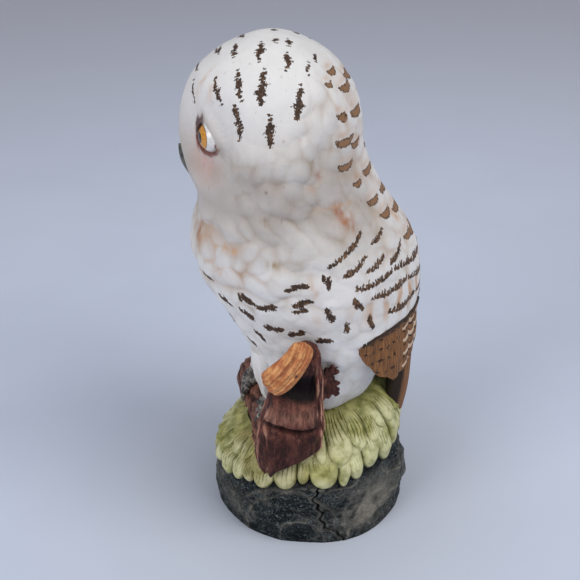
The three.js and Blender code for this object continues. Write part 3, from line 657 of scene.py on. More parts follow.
# The face is turned a little to the owl's right. Angles are in radians, sizes in millimetres.
FACE_TURN = -0.05
EYE_ANGLE = 0.805
EYE_Z = 148.5
EYE_RADIUS = 5.4
EYE_DEPTH = 4.2
OPENING_RADIUS = 4.9
LID_SLOPE = math.radians(44)
LID_HEIGHT = 0.9


def eye_angle(side):
    return FACE_TURN + EYE_ANGLE * side


def eye_frame(side):
    """The eye's place on the skin, and its rearward, upward and outward directions."""
    angle = eye_angle(side)
    centre = owl(angle, EYE_Z)
    outward = owl_normal(angle, EYE_Z)
    rearward = unit(owl(angle + 0.02 * side, EYE_Z) - owl(angle - 0.02 * side, EYE_Z))
    upward = unit(np.cross(outward, rearward)) * side
    upward = upward if upward[2] > 0 else -upward
    return centre, rearward, upward, outward


def eye_opening(points, side):
    """How far inside the eye's opening each point is in mm, its distance from the eye's middle,
    and its rearward and upward coordinates."""
    centre, rearward, upward, outward = eye_frame(side)
    offset = points - centre
    a = offset @ rearward
    b = offset @ upward
    near = (offset @ outward) > -9
    reach = np.hypot(a, b)
    disc = OPENING_RADIUS - np.hypot(a - 0.1, b - 0.2)
    along = a * math.cos(LID_SLOPE) - b * math.sin(LID_SLOPE)
    bowed = 0.8 * (1 - np.minimum(along / 5, 1) ** 2)
    lid = LID_HEIGHT + bowed - (a * math.sin(LID_SLOPE) + b * math.cos(LID_SLOPE))
    inside = np.minimum(disc, lid)
    return (np.where(near, inside, -99.0), np.where(near, reach, 99.0),
            np.where(near, a, 99.0), np.where(near, b, 99.0))


def face_relief(points):
    """Brow, facial discs, cheek ruff and lids: offsets along the skin's normal in mm."""
    total = np.zeros(points.shape[:-1])
    for side in (LEFT, RIGHT):
        inside, reach, a, b = eye_opening(points, side)
        disc_reach = np.hypot(a + 1.0, b + 1.5)
        total = total - 1.1 * bell(disc_reach, 7.5, 3.6)
        total = total + 0.5 * bell(disc_reach, 15.5, 2.4) * smooth((4 - b) / 6)
        spokes = np.sin(28 * np.arctan2(b + 1.5, a + 1.0) + 0.6 * noise(points, 4, 5))
        total = total + 0.1 * spokes * bell(disc_reach, 9.5, 3.5)
        brow = (a * math.sin(LID_SLOPE) + b * math.cos(LID_SLOPE)) - 4.2
        along = a * math.cos(LID_SLOPE) - b * math.sin(LID_SLOPE)
        total = total + 1.5 * bell(brow, 0, 2.2) * bell(along, -1, 7)
        ball = -EYE_DEPTH + np.sqrt(np.maximum(EYE_RADIUS**2 - reach**2, 0))
        rim = np.where(reach < EYE_RADIUS - 0.2, np.maximum(total, ball + 0.5), total)
        rim = mix(rim, np.maximum(total, 0.1), bell(inside, -0.4, 0.7))
        sunk = np.minimum(total, ball - 2.4)
        total = np.where(reach < 8, mix(rim, sunk, smooth((inside + 0.1) / 0.35)), total)
    return total


def beak_seat(points):
    """A soft dent round the root of the beak."""
    turn = np.arctan2(points[..., 0], -points[..., 1]) - FACE_TURN
    return -0.8 * bell(turn, 0, 0.12) * bell(points[..., 2], 133, 7)


# ---- Paint on the plumage ---------------------------------------------------------------------

WHITE = rgb(232, 230, 227)
TAUPE = rgb(174, 154, 130)
GREY = rgb(166, 164, 164)
TAN = rgb(204, 158, 116)
OLIVE_TAN = rgb(150, 124, 76)
RUST = rgb(164, 100, 56)
BLUSH = rgb(212, 172, 158)
UMBER = rgb(84, 50, 50)

# Each mark: angle from the front in degrees, height, length and width in mm, and lean in degrees.
CROWN_DASHES = (
    (3, 165, 4.5, 2, 0), (3, 171, 5, 2.4, 4), (28, 173.3, 6.5, 3.4, 4), (71, 174.2, 7.5, 4, 4),
    (110, 176.0, 2.0, 3.0, 0), (140, 175.4, 3, 3.2, 0), (48, 163.5, 8.5, 3.2, -14),
    (66, 166, 8.5, 3.8, -8), (86, 165.5, 10.5, 4.6, 3), (112, 171.8, 5.5, 3.2, 4),
    (130, 169, 3.2, 2.4, 0), (112, 161, 9.5, 3.8, 7), (67, 155.5, 9, 4.2, -8),
    (92, 153.8, 8, 4, 0), (24, 160, 5, 2, -6), (150, 171, 3.5, 2.4, 0),
)

# The nape's crescents and, below them, the crescents of the upper back: angle, height and width.
NAPE_CRESCENTS = (
    (156, 166.5, 5), (162, 161.5, 8), (179, 163, 6), (143, 164, 3), (142, 155, 3.4), (161, 154, 8),
    (144, 154, 3), (142, 147.4, 7.5), (154, 144.5, 6), (140, 139.4, 6.5), (166, 133, 8), (146, 132, 4.5),
    (178, 140, 6), (176, 124, 8), (154, 124.4, 6.5), (182, 116, 8), (159, 119, 7.5), (178, 107.5, 7),
    (168, 108.8, 7),
)

# Wing bars: the angle and height of their ends and the width of their comb of short hatches.
WING_BARS = (
    (103, 109.5, 128, 118, 2.4), (131, 113.5, 145, 116, 2.6), (109, 105.5, 125, 110.5, 2.8),
    (122, 105.5, 136, 108.5, 2.4), (138, 105, 156, 109.5, 3), (114, 100.6, 138, 103, 3),
    (140, 103, 179, 101.5, 2.8), (121, 96.5, 150, 97.4, 3.2), (151, 96.8, 179, 95, 2.8),
    (132, 88.8, 158, 89.4, 3.4), (160, 89.4, 180, 89, 2.6),
)

# Flank and belly ticks: angle, height, length and lean, in mm and degrees.
FLANK_TICKS = (
    (58, 96, 6, -14), (54, 90, 6, -24), (68, 94.2, 6, 16), (86, 103, 7, 26), (87, 97.2, 6, 22),
    (66, 85.2, 6, 12), (52, 79.5, 5, -28), (78, 84, 5.5, 28), (85, 94.6, 4, 20),
    (101, 105, 4.5, -62), (99, 93.5, 5, -58), (114, 96, 5.5, -44), (106, 87.5, 3.5, -60),
    (120, 87.5, 5, -60), (40, 92, 5.5, 6), (30, 86, 5, -8), (16, 94, 6, 4), (4, 88, 5.5, 0),
    (22, 79, 5, 0), (8, 78, 5, 6), (38, 74, 4.5, 0), (30, 99, 5, 5), (10, 101, 5, 0), (92, 82, 4.5, 20),
)

# How far apart the dabs of dashes and bars lie, and the strokes of ticks.
DAB_PITCH, STROKE_PITCH = 0.95, 1.3

# Single blots of wash: angle, height, their two half widths, colour and strength.
BLOTS = (
    (123, 125, 5.5, 5, RUST, 1.15), (168, 117, 5, 2.5, TAN, 0.9), (118, 140, 2.4, 2, RUST, 0.8),
    (112, 136, 3, 1.6, TAN, 0.6), (76, 111, 5, 1.6, OLIVE_TAN, 0.9), (94, 104, 2.4, 4, TAN, 0.7),
    (51, 113.4, 8, 1.5, TAN, 0.95), (45, 104.6, 5, 2, TAN, 0.8), (22, 114, 3, 6, RUST, 0.9),
    (122, 128.8, 12, 0.8, TAN, 0.8), (30, 163.5, 2.4, 5, TAN, 0.8), (43, 163, 3, 3.5, TAN, 0.5),
    (86, 136, 0.8, 0.5, UMBER, 1.0), (118, 91, 5, 3, TAN, 0.6), (92, 92, 3, 3, TAN, 0.4),
)


def skin_ways(angle, z):
    """A place on the skin, the rearward direction along it, and the one that looks upright."""
    normal = owl_normal(angle, min(z, CROWN_Z - 0.8))
    side = 1 if math.sin(angle) >= 0 else -1
    rise = unit(np.cross(normal, [0, 1.0, 0]) + [0, 0, 1e-3])
    rise = rise if rise @ [-0.5 * side, 0, 0.87] > 0 else -rise
    rearward = unit(np.cross(rise, normal))
    rearward = rearward if rearward[1] > 0 or abs(rearward[1]) < 0.05 else -rearward
    return owl(angle, min(z, CROWN_Z - 0.3)), rearward, rise


def turned(rearward, rise, degrees):
    """Two directions along the skin after turning them, the first from rearward towards upright."""
    lean = math.radians(degrees)
    return (math.cos(lean) * rearward + math.sin(lean) * rise,
            math.cos(lean) * rise - math.sin(lean) * rearward)


def crown_dash(random, start, length, width, lean):
    """One ragged chain of dabs down the crown, with a stray dab at most ends."""
    centre, rearward, rise = skin_ways(*start)
    across, way = turned(rearward, rise, -lean)
    count = max(2, round(length / DAB_PITCH))
    drift = 0.0
    for step in range(count):
        t = (step + 0.5) / count * 2 - 1
        thick = width * (1 - 0.5 * t * t) * random.uniform(0.45, 1.15)
        drift = 0.5 * drift + random.uniform(-0.4, 0.4)
        spot = centre + way * (t * length / 2) + across * drift
        dab = turned(across, way, random.uniform(-6, 26))
        yield spot, *dab, 0.44 * thick, random.uniform(0.5, 0.78)
    for end in (-1, 1):
        if random.random() < 0.7:
            spot = centre + way * end * (length / 2 + random.uniform(0.7, 1.2)) + across * drift
            yield spot, across, way, random.uniform(0.4, 0.8), 0.4


def wing_bar(random, first, second, middle_z, width):
    """One sagging bar on the coverts: a comb of short hatches over a broken line."""
    middle = owl((first[0] + second[0]) / 2, middle_z)
    count = max(4, round(2 * np.linalg.norm(owl(*first) - middle) / DAB_PITCH))
    for step in range(count):
        t = (step + random.uniform(0.25, 0.75)) / count
        height = mix(first[1], second[1], t) - 1.0 * math.sin(math.pi * t)
        centre, rearward, rise = skin_ways(mix(first[0], second[0], t), height)
        tall = width * random.uniform(0.28, 0.6) * (0.6 + 0.4 * math.sin(math.pi * t))
        tooth = turned(rearward, rise, random.uniform(-22, 14))
        yield centre + rise * 0.55 * tall, *tooth, random.uniform(0.4, 0.65), tall
        if random.random() < 0.85:
            yield centre, *turned(rearward, rise, 12), 0.9, random.uniform(0.42, 0.62)


def flank_tick(random, start, length, lean):
    """One tick: a row of slanting strokes that overlap."""
    centre, rearward, rise = skin_ways(*start)
    way, aside = turned(rearward, rise, lean)
    count = max(3, round(length / STROKE_PITCH))
    for step in range(count):
        t = (step + 0.5) / count * 2 - 1
        spot = centre + way * (t * length / 2) + aside * random.uniform(-0.5, 0.5)
        stroke = turned(way, aside, random.uniform(-52, -18))
        half_long = random.uniform(1.5, 2.3) * (1 - 0.35 * t * t)
        yield spot, *stroke, half_long, random.uniform(0.6, 0.95)


def brush_dabs():
    """Every dab of the brush: its middle on the skin, two directions along the skin, two half sizes."""
    dabs = []
    random = np.random.default_rng(7)
    for side in (LEFT, RIGHT):
        shake = 0.0 if side == LEFT else 1.0

        def start(degrees, z):
            """A mark's angle and height, shaken a little on the right side."""
            wobble = shake * random.uniform(-1, 1, 2)
            raised = z + mix(1.2, 0.4, smooth((z - 168) / 6))
            return side * (math.radians(degrees) + 0.04 * wobble[0]), raised + 1.3 * wobble[1]

        for degrees, z, *shape in CROWN_DASHES:
            dabs += crown_dash(random, start(degrees, z), *shape)
        for a0, z0, a1, z1, width in WING_BARS:
            dabs += wing_bar(random, start(a0, z0), start(a1, z1), (z0 + z1) / 2, width)
        for degrees, z, *shape in FLANK_TICKS:
            dabs += flank_tick(random, start(degrees, z), *shape)
    return dabs


def nape_bowls():
    """The nape's bowl-shaped crescents: middle, two directions along the skin, half width, depth."""
    bowls = []
    random = np.random.default_rng(8)
    for side in (LEFT, RIGHT):
        for degrees, z, width in NAPE_CRESCENTS:
            wobble = random.uniform(-1, 1, 2) * (side == RIGHT)
            angle, height = side * math.radians(degrees) + 0.04 * wobble[0], z + wobble[1]
            normal = owl_normal(angle, height)
            level = unit(np.cross(normal, [0, 0, 1.0]))
            rise = np.cross(level, normal)
            rise = rise if rise[2] > 0 else -rise
            bowls.append((owl(angle, height + 1.6), level, rise, 0.62 * width, 1.6 + 0.17 * width))
    return bowls


DABS = brush_dabs()
BOWLS = nape_bowls()


def bowls_on(points):
    """How far inside a crescent each point lies in mm, and the glow of tan just above its rim."""
    found = np.full(points.shape[:-1], -3.0)
    glow = np.zeros(points.shape[:-1])
    for centre, level, rise, half, deep in BOWLS:
        offset = points - centre
        near = np.sum(offset**2, axis=-1) < (2.5 * half) ** 2
        a, b = offset @ level, offset @ rise
        rounded = (1 - np.hypot(a / half, b / deep)) * deep
        inside = np.minimum(rounded, 0.5 * (a / half) ** 2 - 0.1 - b)
        found = np.where(near, np.maximum(found, inside), found)
        tan = bell(a, 0, half) * bell(b, 1.3, 1.0)
        glow = np.where(near, np.maximum(glow, tan), glow)
    return found, glow


def ink_on(points):
    """How far inside the nearest dab each point lies, in mm. Negative is outside."""
    flat = points.reshape(-1, 3)
    found = np.full(len(flat), -3.0)
    order = np.argsort(flat[:, 2])
    heights = flat[order, 2]
    for centre, long_way, wide_way, half_long, half_wide in DABS:
        reach = max(half_long, half_wide) + 1.6
        low, high = np.searchsorted(heights, [centre[2] - reach, centre[2] + reach])
        near = order[low:high]
        offset = flat[near] - centre
        close = np.abs(offset[:, 0]) + np.abs(offset[:, 1]) < 1.5 * reach
        near, offset = near[close], offset[close]
        a = offset @ long_way / half_long
        b = offset @ wide_way / half_wide
        inside = (1 - np.hypot(a, b)) * min(half_long, half_wide)
        found[near] = np.maximum(found[near], inside)
    return found.reshape(points.shape[:-1])


def tinted(colour, amount, tint):
    return mix(colour, tint, np.clip(amount, 0, 1)[..., None])


def body_wash_and_shade(angle, z, depth, points):
    """The thin washes over the white: taupe in the hollows, partly wash and partly painted shade, grey at
    the neck, tan in places.
    """
    degrees = np.degrees(np.abs(np.mod(angle + math.pi, TAU) - math.pi))
    blot = 0.5 + 0.5 * noise(points, 6, 60)
    speck = 0.5 + 0.5 * noise(points, 2.5, 61)
    colour = np.broadcast_to(WHITE, points.shape).copy()
    neck = bell(z, 132, 18) * smooth((170 - degrees) / 40)
    breast = bell(z, 106, 14) * smooth((100 - degrees) / 40)
    recess = np.clip(depth, 0, 1) ** 1.2
    # Taupe in the hollows: partly the figurine's wash, partly painted shade in the recesses.
    colour = tinted(colour, recess * (0.46 + 0.9 * neck + 0.5 * breast), TAUPE)
    colour = tinted(colour, neck * (0.36 + 0.5 * blot), TAUPE)
    colour = tinted(colour, 0.4 * neck + 0.08 * breast, GREY)
    glow = bowls_on(points)[1]
    colour = tinted(colour, 0.5 * glow * (0.35 + 0.65 * speck), TAN)
    warm = bell(degrees, 165, 28) * bell(z, 150, 22) + 0.7 * bell(degrees, 160, 25) * bell(z, 112, 9)
    colour = tinted(colour, warm * recess * (0.35 + 0.6 * speck), TAN)
    scallop = bell(degrees, 146, 28) * bell(z, 93, 5)
    strokes = np.clip(np.sin(angle * 34 + 0.8 * noise(points, 4, 63)) * 1.3, 0, 1)
    colour = tinted(colour, 1.4 * scallop * strokes * (0.4 + 0.6 * speck), TAN)
    front = bell(degrees, 38, 26) * bell(z, 110, 9)
    colour = tinted(colour, front * np.clip(depth * 1.8 - 0.2, 0, 1) * (0.4 + 0.8 * speck), TAN)
    streaks = 0.55 + 0.6 * noise(points * [1, 1, 0.4], 0.9, 62)
    for where, height, wide, tall, tint, amount in BLOTS:
        spot = bell(degrees, where, wide) * bell(z, height, tall)
        colour = tinted(colour, amount * spot * streaks, tint)
    return colour


def face_wash(colour, points):
    """Blush and umber strokes around the eyes, with grey-brown painted shade above each eye and a painted
    shadow line down its front.
    """
    streaks = 0.5 + 0.5 * noise(points * [1, 1, 0.25], 0.7, 71)
    blot = 0.5 + 0.5 * noise(points, 3, 72)
    for side in (LEFT, RIGHT):
        inside, reach, a, b = eye_opening(points, side)
        cheek = bell(np.hypot(a + 2.5, (b + 7.5) * 0.75), 0, 6.2)
        colour = tinted(colour, cheek * (0.25 + 0.75 * streaks), BLUSH)
        rim = bell(inside, -0.4, 1.0) * smooth((2.0 - b) / 3)
        rim = smooth((rim + 0.9 * (streaks - 0.5) - 0.3) / 0.5)
        colour = tinted(colour, 0.85 * rim, rgb(128, 70, 58))
        corner = bell(np.hypot(a + 4.6, (b - 2.6) * 0.75), 0, 3.3)
        corner = smooth((corner + 0.7 * (streaks - 0.5) + 0.3 * (blot - 0.5) - 0.36) / 0.34)
        colour = tinted(colour, 0.92 * corner, UMBER)
        # A pinkish brown painted shadow line down the front of the eye.
        front = bell(a, -5.6, 1.1) * bell(b, -2.5, 4.5)
        front = smooth((front + 0.8 * (streaks - 0.5) - 0.3) / 0.5)
        colour = tinted(colour, 0.8 * front, rgb(150, 98, 88))
        # Grey-brown painted shade round the upper rear of the eye, under the brow.
        brow = bell(inside, -2.0, 1.8) * smooth((a + b + 1) / 3)
        colour = tinted(colour, 0.6 * brow * (0.4 + 0.6 * blot), rgb(132, 118, 106))
        lid_line = bell(inside, -0.15, 0.36) * smooth((a + b + 1.5) / 2)
        colour = tinted(colour, 1.1 * lid_line, rgb(52, 36, 34))
    return colour


# ---- Owl pieces -------------------------------------------------------------------------------

# The angles of the fine columns round the torso and the head.
OWL_TURN = np.linspace(-math.pi, math.pi, 500, endpoint=False)


def paint_layers(wash, points):
    """The washes with their painted shade, and how far each point lies inside the brush marks and the
    crescents.
    """
    turn = np.arctan2(np.abs(points[..., 0]), 6 - points[..., 1])
    worn = smooth((turn - 1.75) / 0.2) * smooth((122 - points[..., 2]) / 6)
    return {"wash": wash, "ink": ink_on(points), "bowl": bowls_on(points)[0], "worn": worn}


def bare_layers(wash):
    """Washes and painted shade, with no marks over them."""
    unmarked = np.full(wash.shape[:-1], -3.0)
    return {"wash": wash, "ink": unmarked, "bowl": unmarked}


def torso_piece():
    """The body casting, from the log up to the neck, where its rim is tucked into the head."""
    angle, z = np.meshgrid(OWL_TURN, np.linspace(DECK_Z + 0.1, NECK_Z + 0.1, 178))
    base = owl(angle, z)
    height, depth = plumage(angle, z)
    height = height * smooth((z - DECK_Z) / 5)
    normal = normals_of(base, vec(0, 8, z))
    grid = base + normal * height[..., None]
    colour = body_wash_and_shade(angle, z, depth, base)
    layers = paint_layers(colour, base)
    tucked = grid[-1:] * [0.9, 0.9, 1] + [0, 0, 0.4]
    grid = np.concatenate([grid, tucked])
    layers = {k: np.concatenate([v, v[-1:]]) for k, v in layers.items()}
    tube_piece("torso", grid, layers, "feathers", "owl_torso")


def head_piece():
    """The head casting, with rows evenly spaced over the rounded crown."""
    start = np.interp(NECK_Z - 0.1, TABLE_Z, TABLE_RUN)
    run = np.linspace(start, TABLE_RUN[-1] - 0.25, 190)
    tables = (TABLE_Z, TABLE_FRONT, TABLE_BACK, TABLE_HALF)
    angle, z, front, back, half = np.broadcast_arrays(
        OWL_TURN, *(np.interp(run, TABLE_RUN, table)[:, None] for table in tables))
    base = owl_from(angle, z, front, back, half)
    normal = normals_of(base, [0, -6, 148])
    height, depth = plumage(angle, z)
    pole = smooth((CROWN_Z - z) / 1.0)
    height = height * mix(0.4, 1, pole)
    for side in (LEFT, RIGHT):
        height = height * smooth((eye_opening(base, side)[1] - 4) / 8)
    height = height + face_relief(base) + beak_seat(base)
    grid = base + normal * height[..., None]
    colour = face_wash(body_wash_and_shade(angle, z, depth, base), base)
    layers = paint_layers(colour, base)
    tube_piece("head", grid, layers, "feathers", "owl_head")


def eye_piece(label, side):
    """An enamelled ball whose rings are centred on its gaze."""
    centre = owl(eye_angle(side), EYE_Z, -EYE_DEPTH)
    look = math.radians(19)
    gaze = unit(np.array([math.sin(look) * side, -math.cos(look), 0.02]))
    across = unit(np.cross(gaze, [0, 0, 1.0]))
    t, around = tube_ways(40, 64)
    tilt = mix(0.03, math.pi - 0.03, t)
    direction = ring_ways(tilt, gaze, ring_ways(around, across, np.cross(across, gaze)))
    grid = centre + EYE_RADIUS * direction
    layers = {"gaze": np.degrees(tilt)}
    tube_piece(f"eyeball_{label}", grid, layers, "eye", f"eye_{label}", 180)


def beak_piece():
    """A hooked bill with a ridge along its top and a nostril on each side."""
    outward = np.array([math.sin(FACE_TURN), -math.cos(FACE_TURN), 0])
    sideways = np.array([math.cos(FACE_TURN), math.sin(FACE_TURN), 0])
    t, around = tube_ways(60, 72)
    z = mix(139.6, 125.0, t)
    reach = 1.3 * np.sin(math.pi * np.minimum(0.14 + 0.8 * t, 1)) + 0.15
    half_width = 3.4 * np.sqrt(np.maximum(1 - 0.97 * t**2, 0.002)) * smooth(4 * t + 0.35)
    half_depth = 3.0 * (1 - 0.6 * t)
    centre = owl(FACE_TURN, z) + outward * (reach - half_depth)[..., None]
    ridge = bell(around, 0, 0.5) + bell(around, TAU, 0.5)
    nostril = sum(bell(around, spot, 0.16) for spot in (0.75, TAU - 0.75)) * bell(t, 0.24, 0.05)
    grow = 0.86 + ridge * 0.24 - 0.2 * nostril
    grid = (centre + sideways * (half_width * grow * np.sin(around))[..., None]
            + outward * (half_depth * grow * np.cos(around))[..., None])
    layers = {"hollow": np.clip(nostril + 0.6 * bell(t, 1, 0.15), 0, 1)}
    tube_piece("bill", grid, layers, "beak", "beak")


# The angle of the coverts' leading edge, from the owl's front.
WING_LEAD = 1.15
# Height of the coverts' lower and upper edges, from leading edge (0) to the middle of the back (1).
COVERT_EDGES = ((0, 86, 100), (0.2, 80.5, 113), (0.42, 78.2, 124), (0.55, 81.5, 127.5),
                (0.8, 82.2, 126), (1, 83.2, 121))


def wing_piece(label, side):
    """The closed wing's coverts, rising from the body without a seam and ending in a step."""
    u, v = plate_ways(230, 130)
    low, high = rows_at(COVERT_EDGES, u)
    tips = 0.9 * np.abs(np.sin(u * 15)) - 0.4
    low = low - tips * smooth((u - 0.2) / 0.2)
    z = mix(low, high, v)
    angle = mix(WING_LEAD, math.pi, u) * side
    # In front of the primaries the coverts melt into the flank. Over them they end in a step.
    melt = mix(smooth(v / 0.4), 1, smooth((u - 0.3) / 0.14))
    rise = smooth(u / 0.3) * smooth((1 - v) / 0.62) * melt
    step = smooth(v / 0.035)
    height, depth = plumage(angle, z)
    base, normal = owl(angle, z), owl_normal(angle, z)
    warp = noise(base, 7, 92)
    coverts = clumps(angle + 0.06 * warp, z + 1.8 * warp, 30, 5.6, 91)
    surface = mix(height, 0.5 * height + 0.5 * coverts, smooth(rise * 1.3)) - 0.3 + 1.7 * rise
    outer = base + normal * (surface - 0.7 * (1 - step) * rise)[..., None]
    inner = base + normal * np.minimum(-0.1, surface - 1.0)[..., None]
    # The coverts' valleys count as deep, for the taupe wash and its painted shade.
    depth = mix(depth, np.clip(1.1 - coverts * 1.3, 0, 1), rise)
    layers = paint_layers(body_wash_and_shade(angle, z, depth, base), base)
    plate_piece(f"coverts_{label}", outer, inner, layers, "feathers", f"wing_{label}")


# The same for the primaries, whose upper edge is tucked under the coverts.
PRIMARY_LEAD = 1.95
PRIMARY_EDGES = ((0, 75.5, 78.8), (0.18, 67.5, 81), (0.38, 64.5, 82.4), (0.65, 67.5, 83), (1, 73, 84))
PRIMARY_FEATHERS = 7


def primaries_piece(label, side):
    """Long flight feathers, each lying over the next, standing off the body as it narrows."""
    u, v = plate_ways(200, 120)
    low, high = rows_at(PRIMARY_EDGES, u)
    lane = u * PRIMARY_FEATHERS
    within = lane - np.floor(lane)
    tip = 2.4 * np.abs(within - 0.5) - 0.5
    z = mix(low + tip * smooth(1 - v), high + 1.5, v)
    angle = mix(PRIMARY_LEAD, math.pi, u) * side
    stand_off = 0.36 * np.maximum(0, 80 - z) * smooth(u * 2.5)
    lap = 0.8 * within - 0.55 * smooth((within - 0.86) / 0.14)
    rachis = -0.28 * bell(within, 0.45, 0.05)
    edge = smooth(u / 0.04) * smooth(v / 0.03)
    lift = 1.0 + (1.4 + lap + rachis) * edge + stand_off
    base, normal = owl(angle, z), owl_normal(angle, z)
    outer = base + normal * lift[..., None]
    inner = base + normal * (0.2 + stand_off)[..., None]
    random = np.random.default_rng(12 + side)
    pale = np.zeros(u.shape)
    ink = np.full(u.shape, -2.0)
    rear = smooth((u - 0.42) / 0.12)
    arc = 4.4 * np.abs(within - 0.5) ** 1.5
    for row in range(4):
        level = high - 2.6 - 4.4 * row + arc + 0.5 * noise(base, 3, 210 + row)
        pale = np.maximum(pale, bell(z, level, 0.85) * rear)
        ink = np.maximum(ink, mix(-2, 0.34 - np.abs(z - level + 1.25), rear))
        ink = np.maximum(ink, mix(-2, 0.2 - np.abs(z - level - 1.2), rear))
        for tick in range(7):
            at_u = 0.05 + 0.075 * tick + random.uniform(-0.012, 0.012)
            at_z = 79.3 - 4.2 * row + 7 * at_u + random.uniform(-0.35, 0.35)
            a = (u - at_u) * 34 / random.uniform(0.45, 0.9)
            b = (z - at_z - 0.2 * (u - at_u) * 34) / 0.42
            ink = np.maximum(ink, (1 - np.hypot(a, b)) * 0.42)
    shadow = 0.85 * smooth((z - high + 0.5) / 1.0) + 0.35 * bell(within, 0.98, 0.05)
    layers = {"pale": pale, "ink": ink, "shadow": np.clip(shadow, 0, 1)}
    plate_piece(f"flight_feathers_{label}", outer, inner, layers, "primaries",
                f"primaries_{label}")


def tail_piece():
    """The tail: long overlapping feathers, painted near black beneath as shadow."""
    t, around = tube_ways(120, 200)
    across = np.sign(np.cos(around)) * np.abs(np.cos(around)) ** 0.6
    side = np.sin(around)
    z = mix(74, 32 + 4 * across**2, t)
    half = 11.6 * mix(0.9, 1, t)
    lane = np.abs(across) * 3.2
    within = lane - np.floor(lane)
    ridge = 0.55 * (1 - within) + 0.25 * bell(within, 0.5, 0.07)
    thick = mix(2.3, 2.9, smooth((t - 0.4) / 0.4)) * np.sqrt(smooth((1 - t) / 0.09) * 0.9 + 0.1)
    middle_y = mix(44.2, 41.4, t) + 1.8 * np.sin(math.pi * t) - 2.2 * across**2 - 2.6
    # The inner side is thickened so that its near black painted shadow fills the gap in front of the
    # leaves.
    painted_shadow_bulge = np.where(side < 0, 2.6 * smooth((t - 0.3) / 0.3) * smooth((1.05 - t) / 0.2), 0)
    y = middle_y + np.sign(side) * np.abs(side) ** 0.6 * (thick + painted_shadow_bulge)
    y = y + np.where(side > 0, ridge - 0.3, 0)
    grid = vec(across * half, y, z - 0.8 * ridge * smooth((t - 0.8) / 0.2))
    # Painted shadow: near black over the underside, and darker along each lapped feather edge.
    under = smooth((0.5 - side) / 0.4)
    layers = {"pale": 0 * t, "ink": 0 * t - 2, "shadow": 0.95 * under + 0.2 * bell(within, 0.97, 0.06)}
    tube_piece("tail_feathers", grid, layers, "primaries", "tail")


def undertail_piece():
    """A fan of pale down under the tail, painted grey as shade."""
    u, v = plate_ways(60, 40, -1)
    z = mix(60, 48.5 + 4 * u**2 + 1.2 * np.abs(np.sin(u * 7)), v)
    y = mix(41.2, 38.8, v) - 3 * u**2 + 0.35 * np.sin(u * 16) * v
    outer = vec(u * 10, y, z)
    inner = vec(u * 10, y - 3.3 * (1 - 0.6 * v) * np.sqrt(1.02 - u**2), z)
    # Painted shade: grey over the white down in the shadow under the tail, ribbed across the fan.
    wash = tinted(np.broadcast_to(WHITE, outer.shape).copy(), 0.35 + 0.3 * np.sin(u * 16), GREY)
    layers = bare_layers(wash)
    plate_piece("undertail", outer, inner, layers, "feathers", "undertail_down")


# ---- Log, stump and bark ----------------------------------------------------------------------

# The log's axis runs from its broken far end to the middle of the snag's foot.
LOG_RADIUS = 8.8
LOG_FAR = np.array([-21.0, -12.0, 31.5])
LOG_NEAR = np.array([29.0, 2.0, 33.5])
LOG_ALONG = unit((LOG_NEAR - LOG_FAR) * [1, 1, 0])
LOG_ACROSS = np.array([LOG_ALONG[1], -LOG_ALONG[0], 0])


def log_grid(start, end, rows, radius_at):
    """A stretch of the grooved log, from start to end along it, and the dark in its grooves."""
    along, around = tube_ways(rows, 200)
    t = mix(start, end, along)
    centre = LOG_FAR + (LOG_NEAR - LOG_FAR) * t[..., None]
    ring = ring_ways(around, LOG_ACROSS, UP)
    grain = vec(t * 9, np.cos(around) * 6, np.sin(around) * 6)
    grooves = np.abs(noise(grain * [0.7, 1, 1], 1.6, 31)) + 0.5 * noise(grain, 0.8, 32)
    lumps = 0.35 * noise(centre + ring * LOG_RADIUS, 4, 33)
    radius = radius_at(t) + 0.9 * (grooves - 0.35) + lumps
    return t, around, centre + ring * radius[..., None], np.clip(0.75 - grooves * 1.9, 0, 0.8)


def log_piece():
    """The fallen log, which swells towards the snag and in front."""
    def radius_at(t):
        return LOG_RADIUS * (1 + 0.06 * np.sin(9 * t)) + 1.6 * bell(t, 0.85, 0.25)

    t, around, grid, dark = log_grid(0.0, 1.0, 150, radius_at)
    swell = 3.4 * np.maximum(np.cos(around), 0) * bell(t, 0.62, 0.3)
    grid = grid + swell[..., None] * LOG_ACROSS
    layers = {"hollow": dark, "stripe": 0.25 + 0 * t}
    tube_piece("log", grid, layers, "bark", "fallen_log")


def far_end_piece():
    """The broken knot that closes the log's far end."""
    def radius_at(t):
        return LOG_RADIUS * (0.98 - 14 * t**2) * smooth((t + 0.142) / 0.014)

    t, around, grid, dark = log_grid(-0.004, -0.14, 40, radius_at)
    layers = {"hollow": dark, "stripe": 0.35 + 0 * t}
    tube_piece("broken_end", grid, layers, "bark", "log_far_end")


# Height, middle X, middle Y, half depth and half width of the snag.
STUMP_SECTIONS = ((29.5, 35, -5.2, 3.2, 3.6), (34, 35, -2.6, 6.0, 8.6), (41, 34.4, -0.5, 7, 11.6),
                  (50, 33.9, 0.4, 7, 11.4), (57, 33.5, 1.1, 6.8, 10.1), (63, 33.4, 1.7, 6.4, 9.1),
                  (68, 33.4, 2.2, 6.2, 8.7), (73, 33.6, 3.2, 5.8, 7.3), (79, 34, 4.6, 4.6, 5.2),
                  (82, 34.2, 5.0, 3.4, 3.6), (86, 34.2, 5.0, 2.4, 2.6))
STUMP_FOOT, STUMP_TOP = 29.5, 83.6
# 1 would give the snag round sections, and less gives squarer ones.
STUMP_SQUARENESS = 0.8
# How far the outer face stands out or falls in, by height: the torn hollow, its lip and a crease.
STUMP_FACE = ((27, 0), (36, 0.2), (45, 0.7), (50, 0.5), (51.8, -1.5), (53.6, 0.8), (57.5, 1.7),
              (61, 1.2), (63.6, -1.8), (66.5, -3.4), (71, -2.4), (76, -0.4), (84, 0))


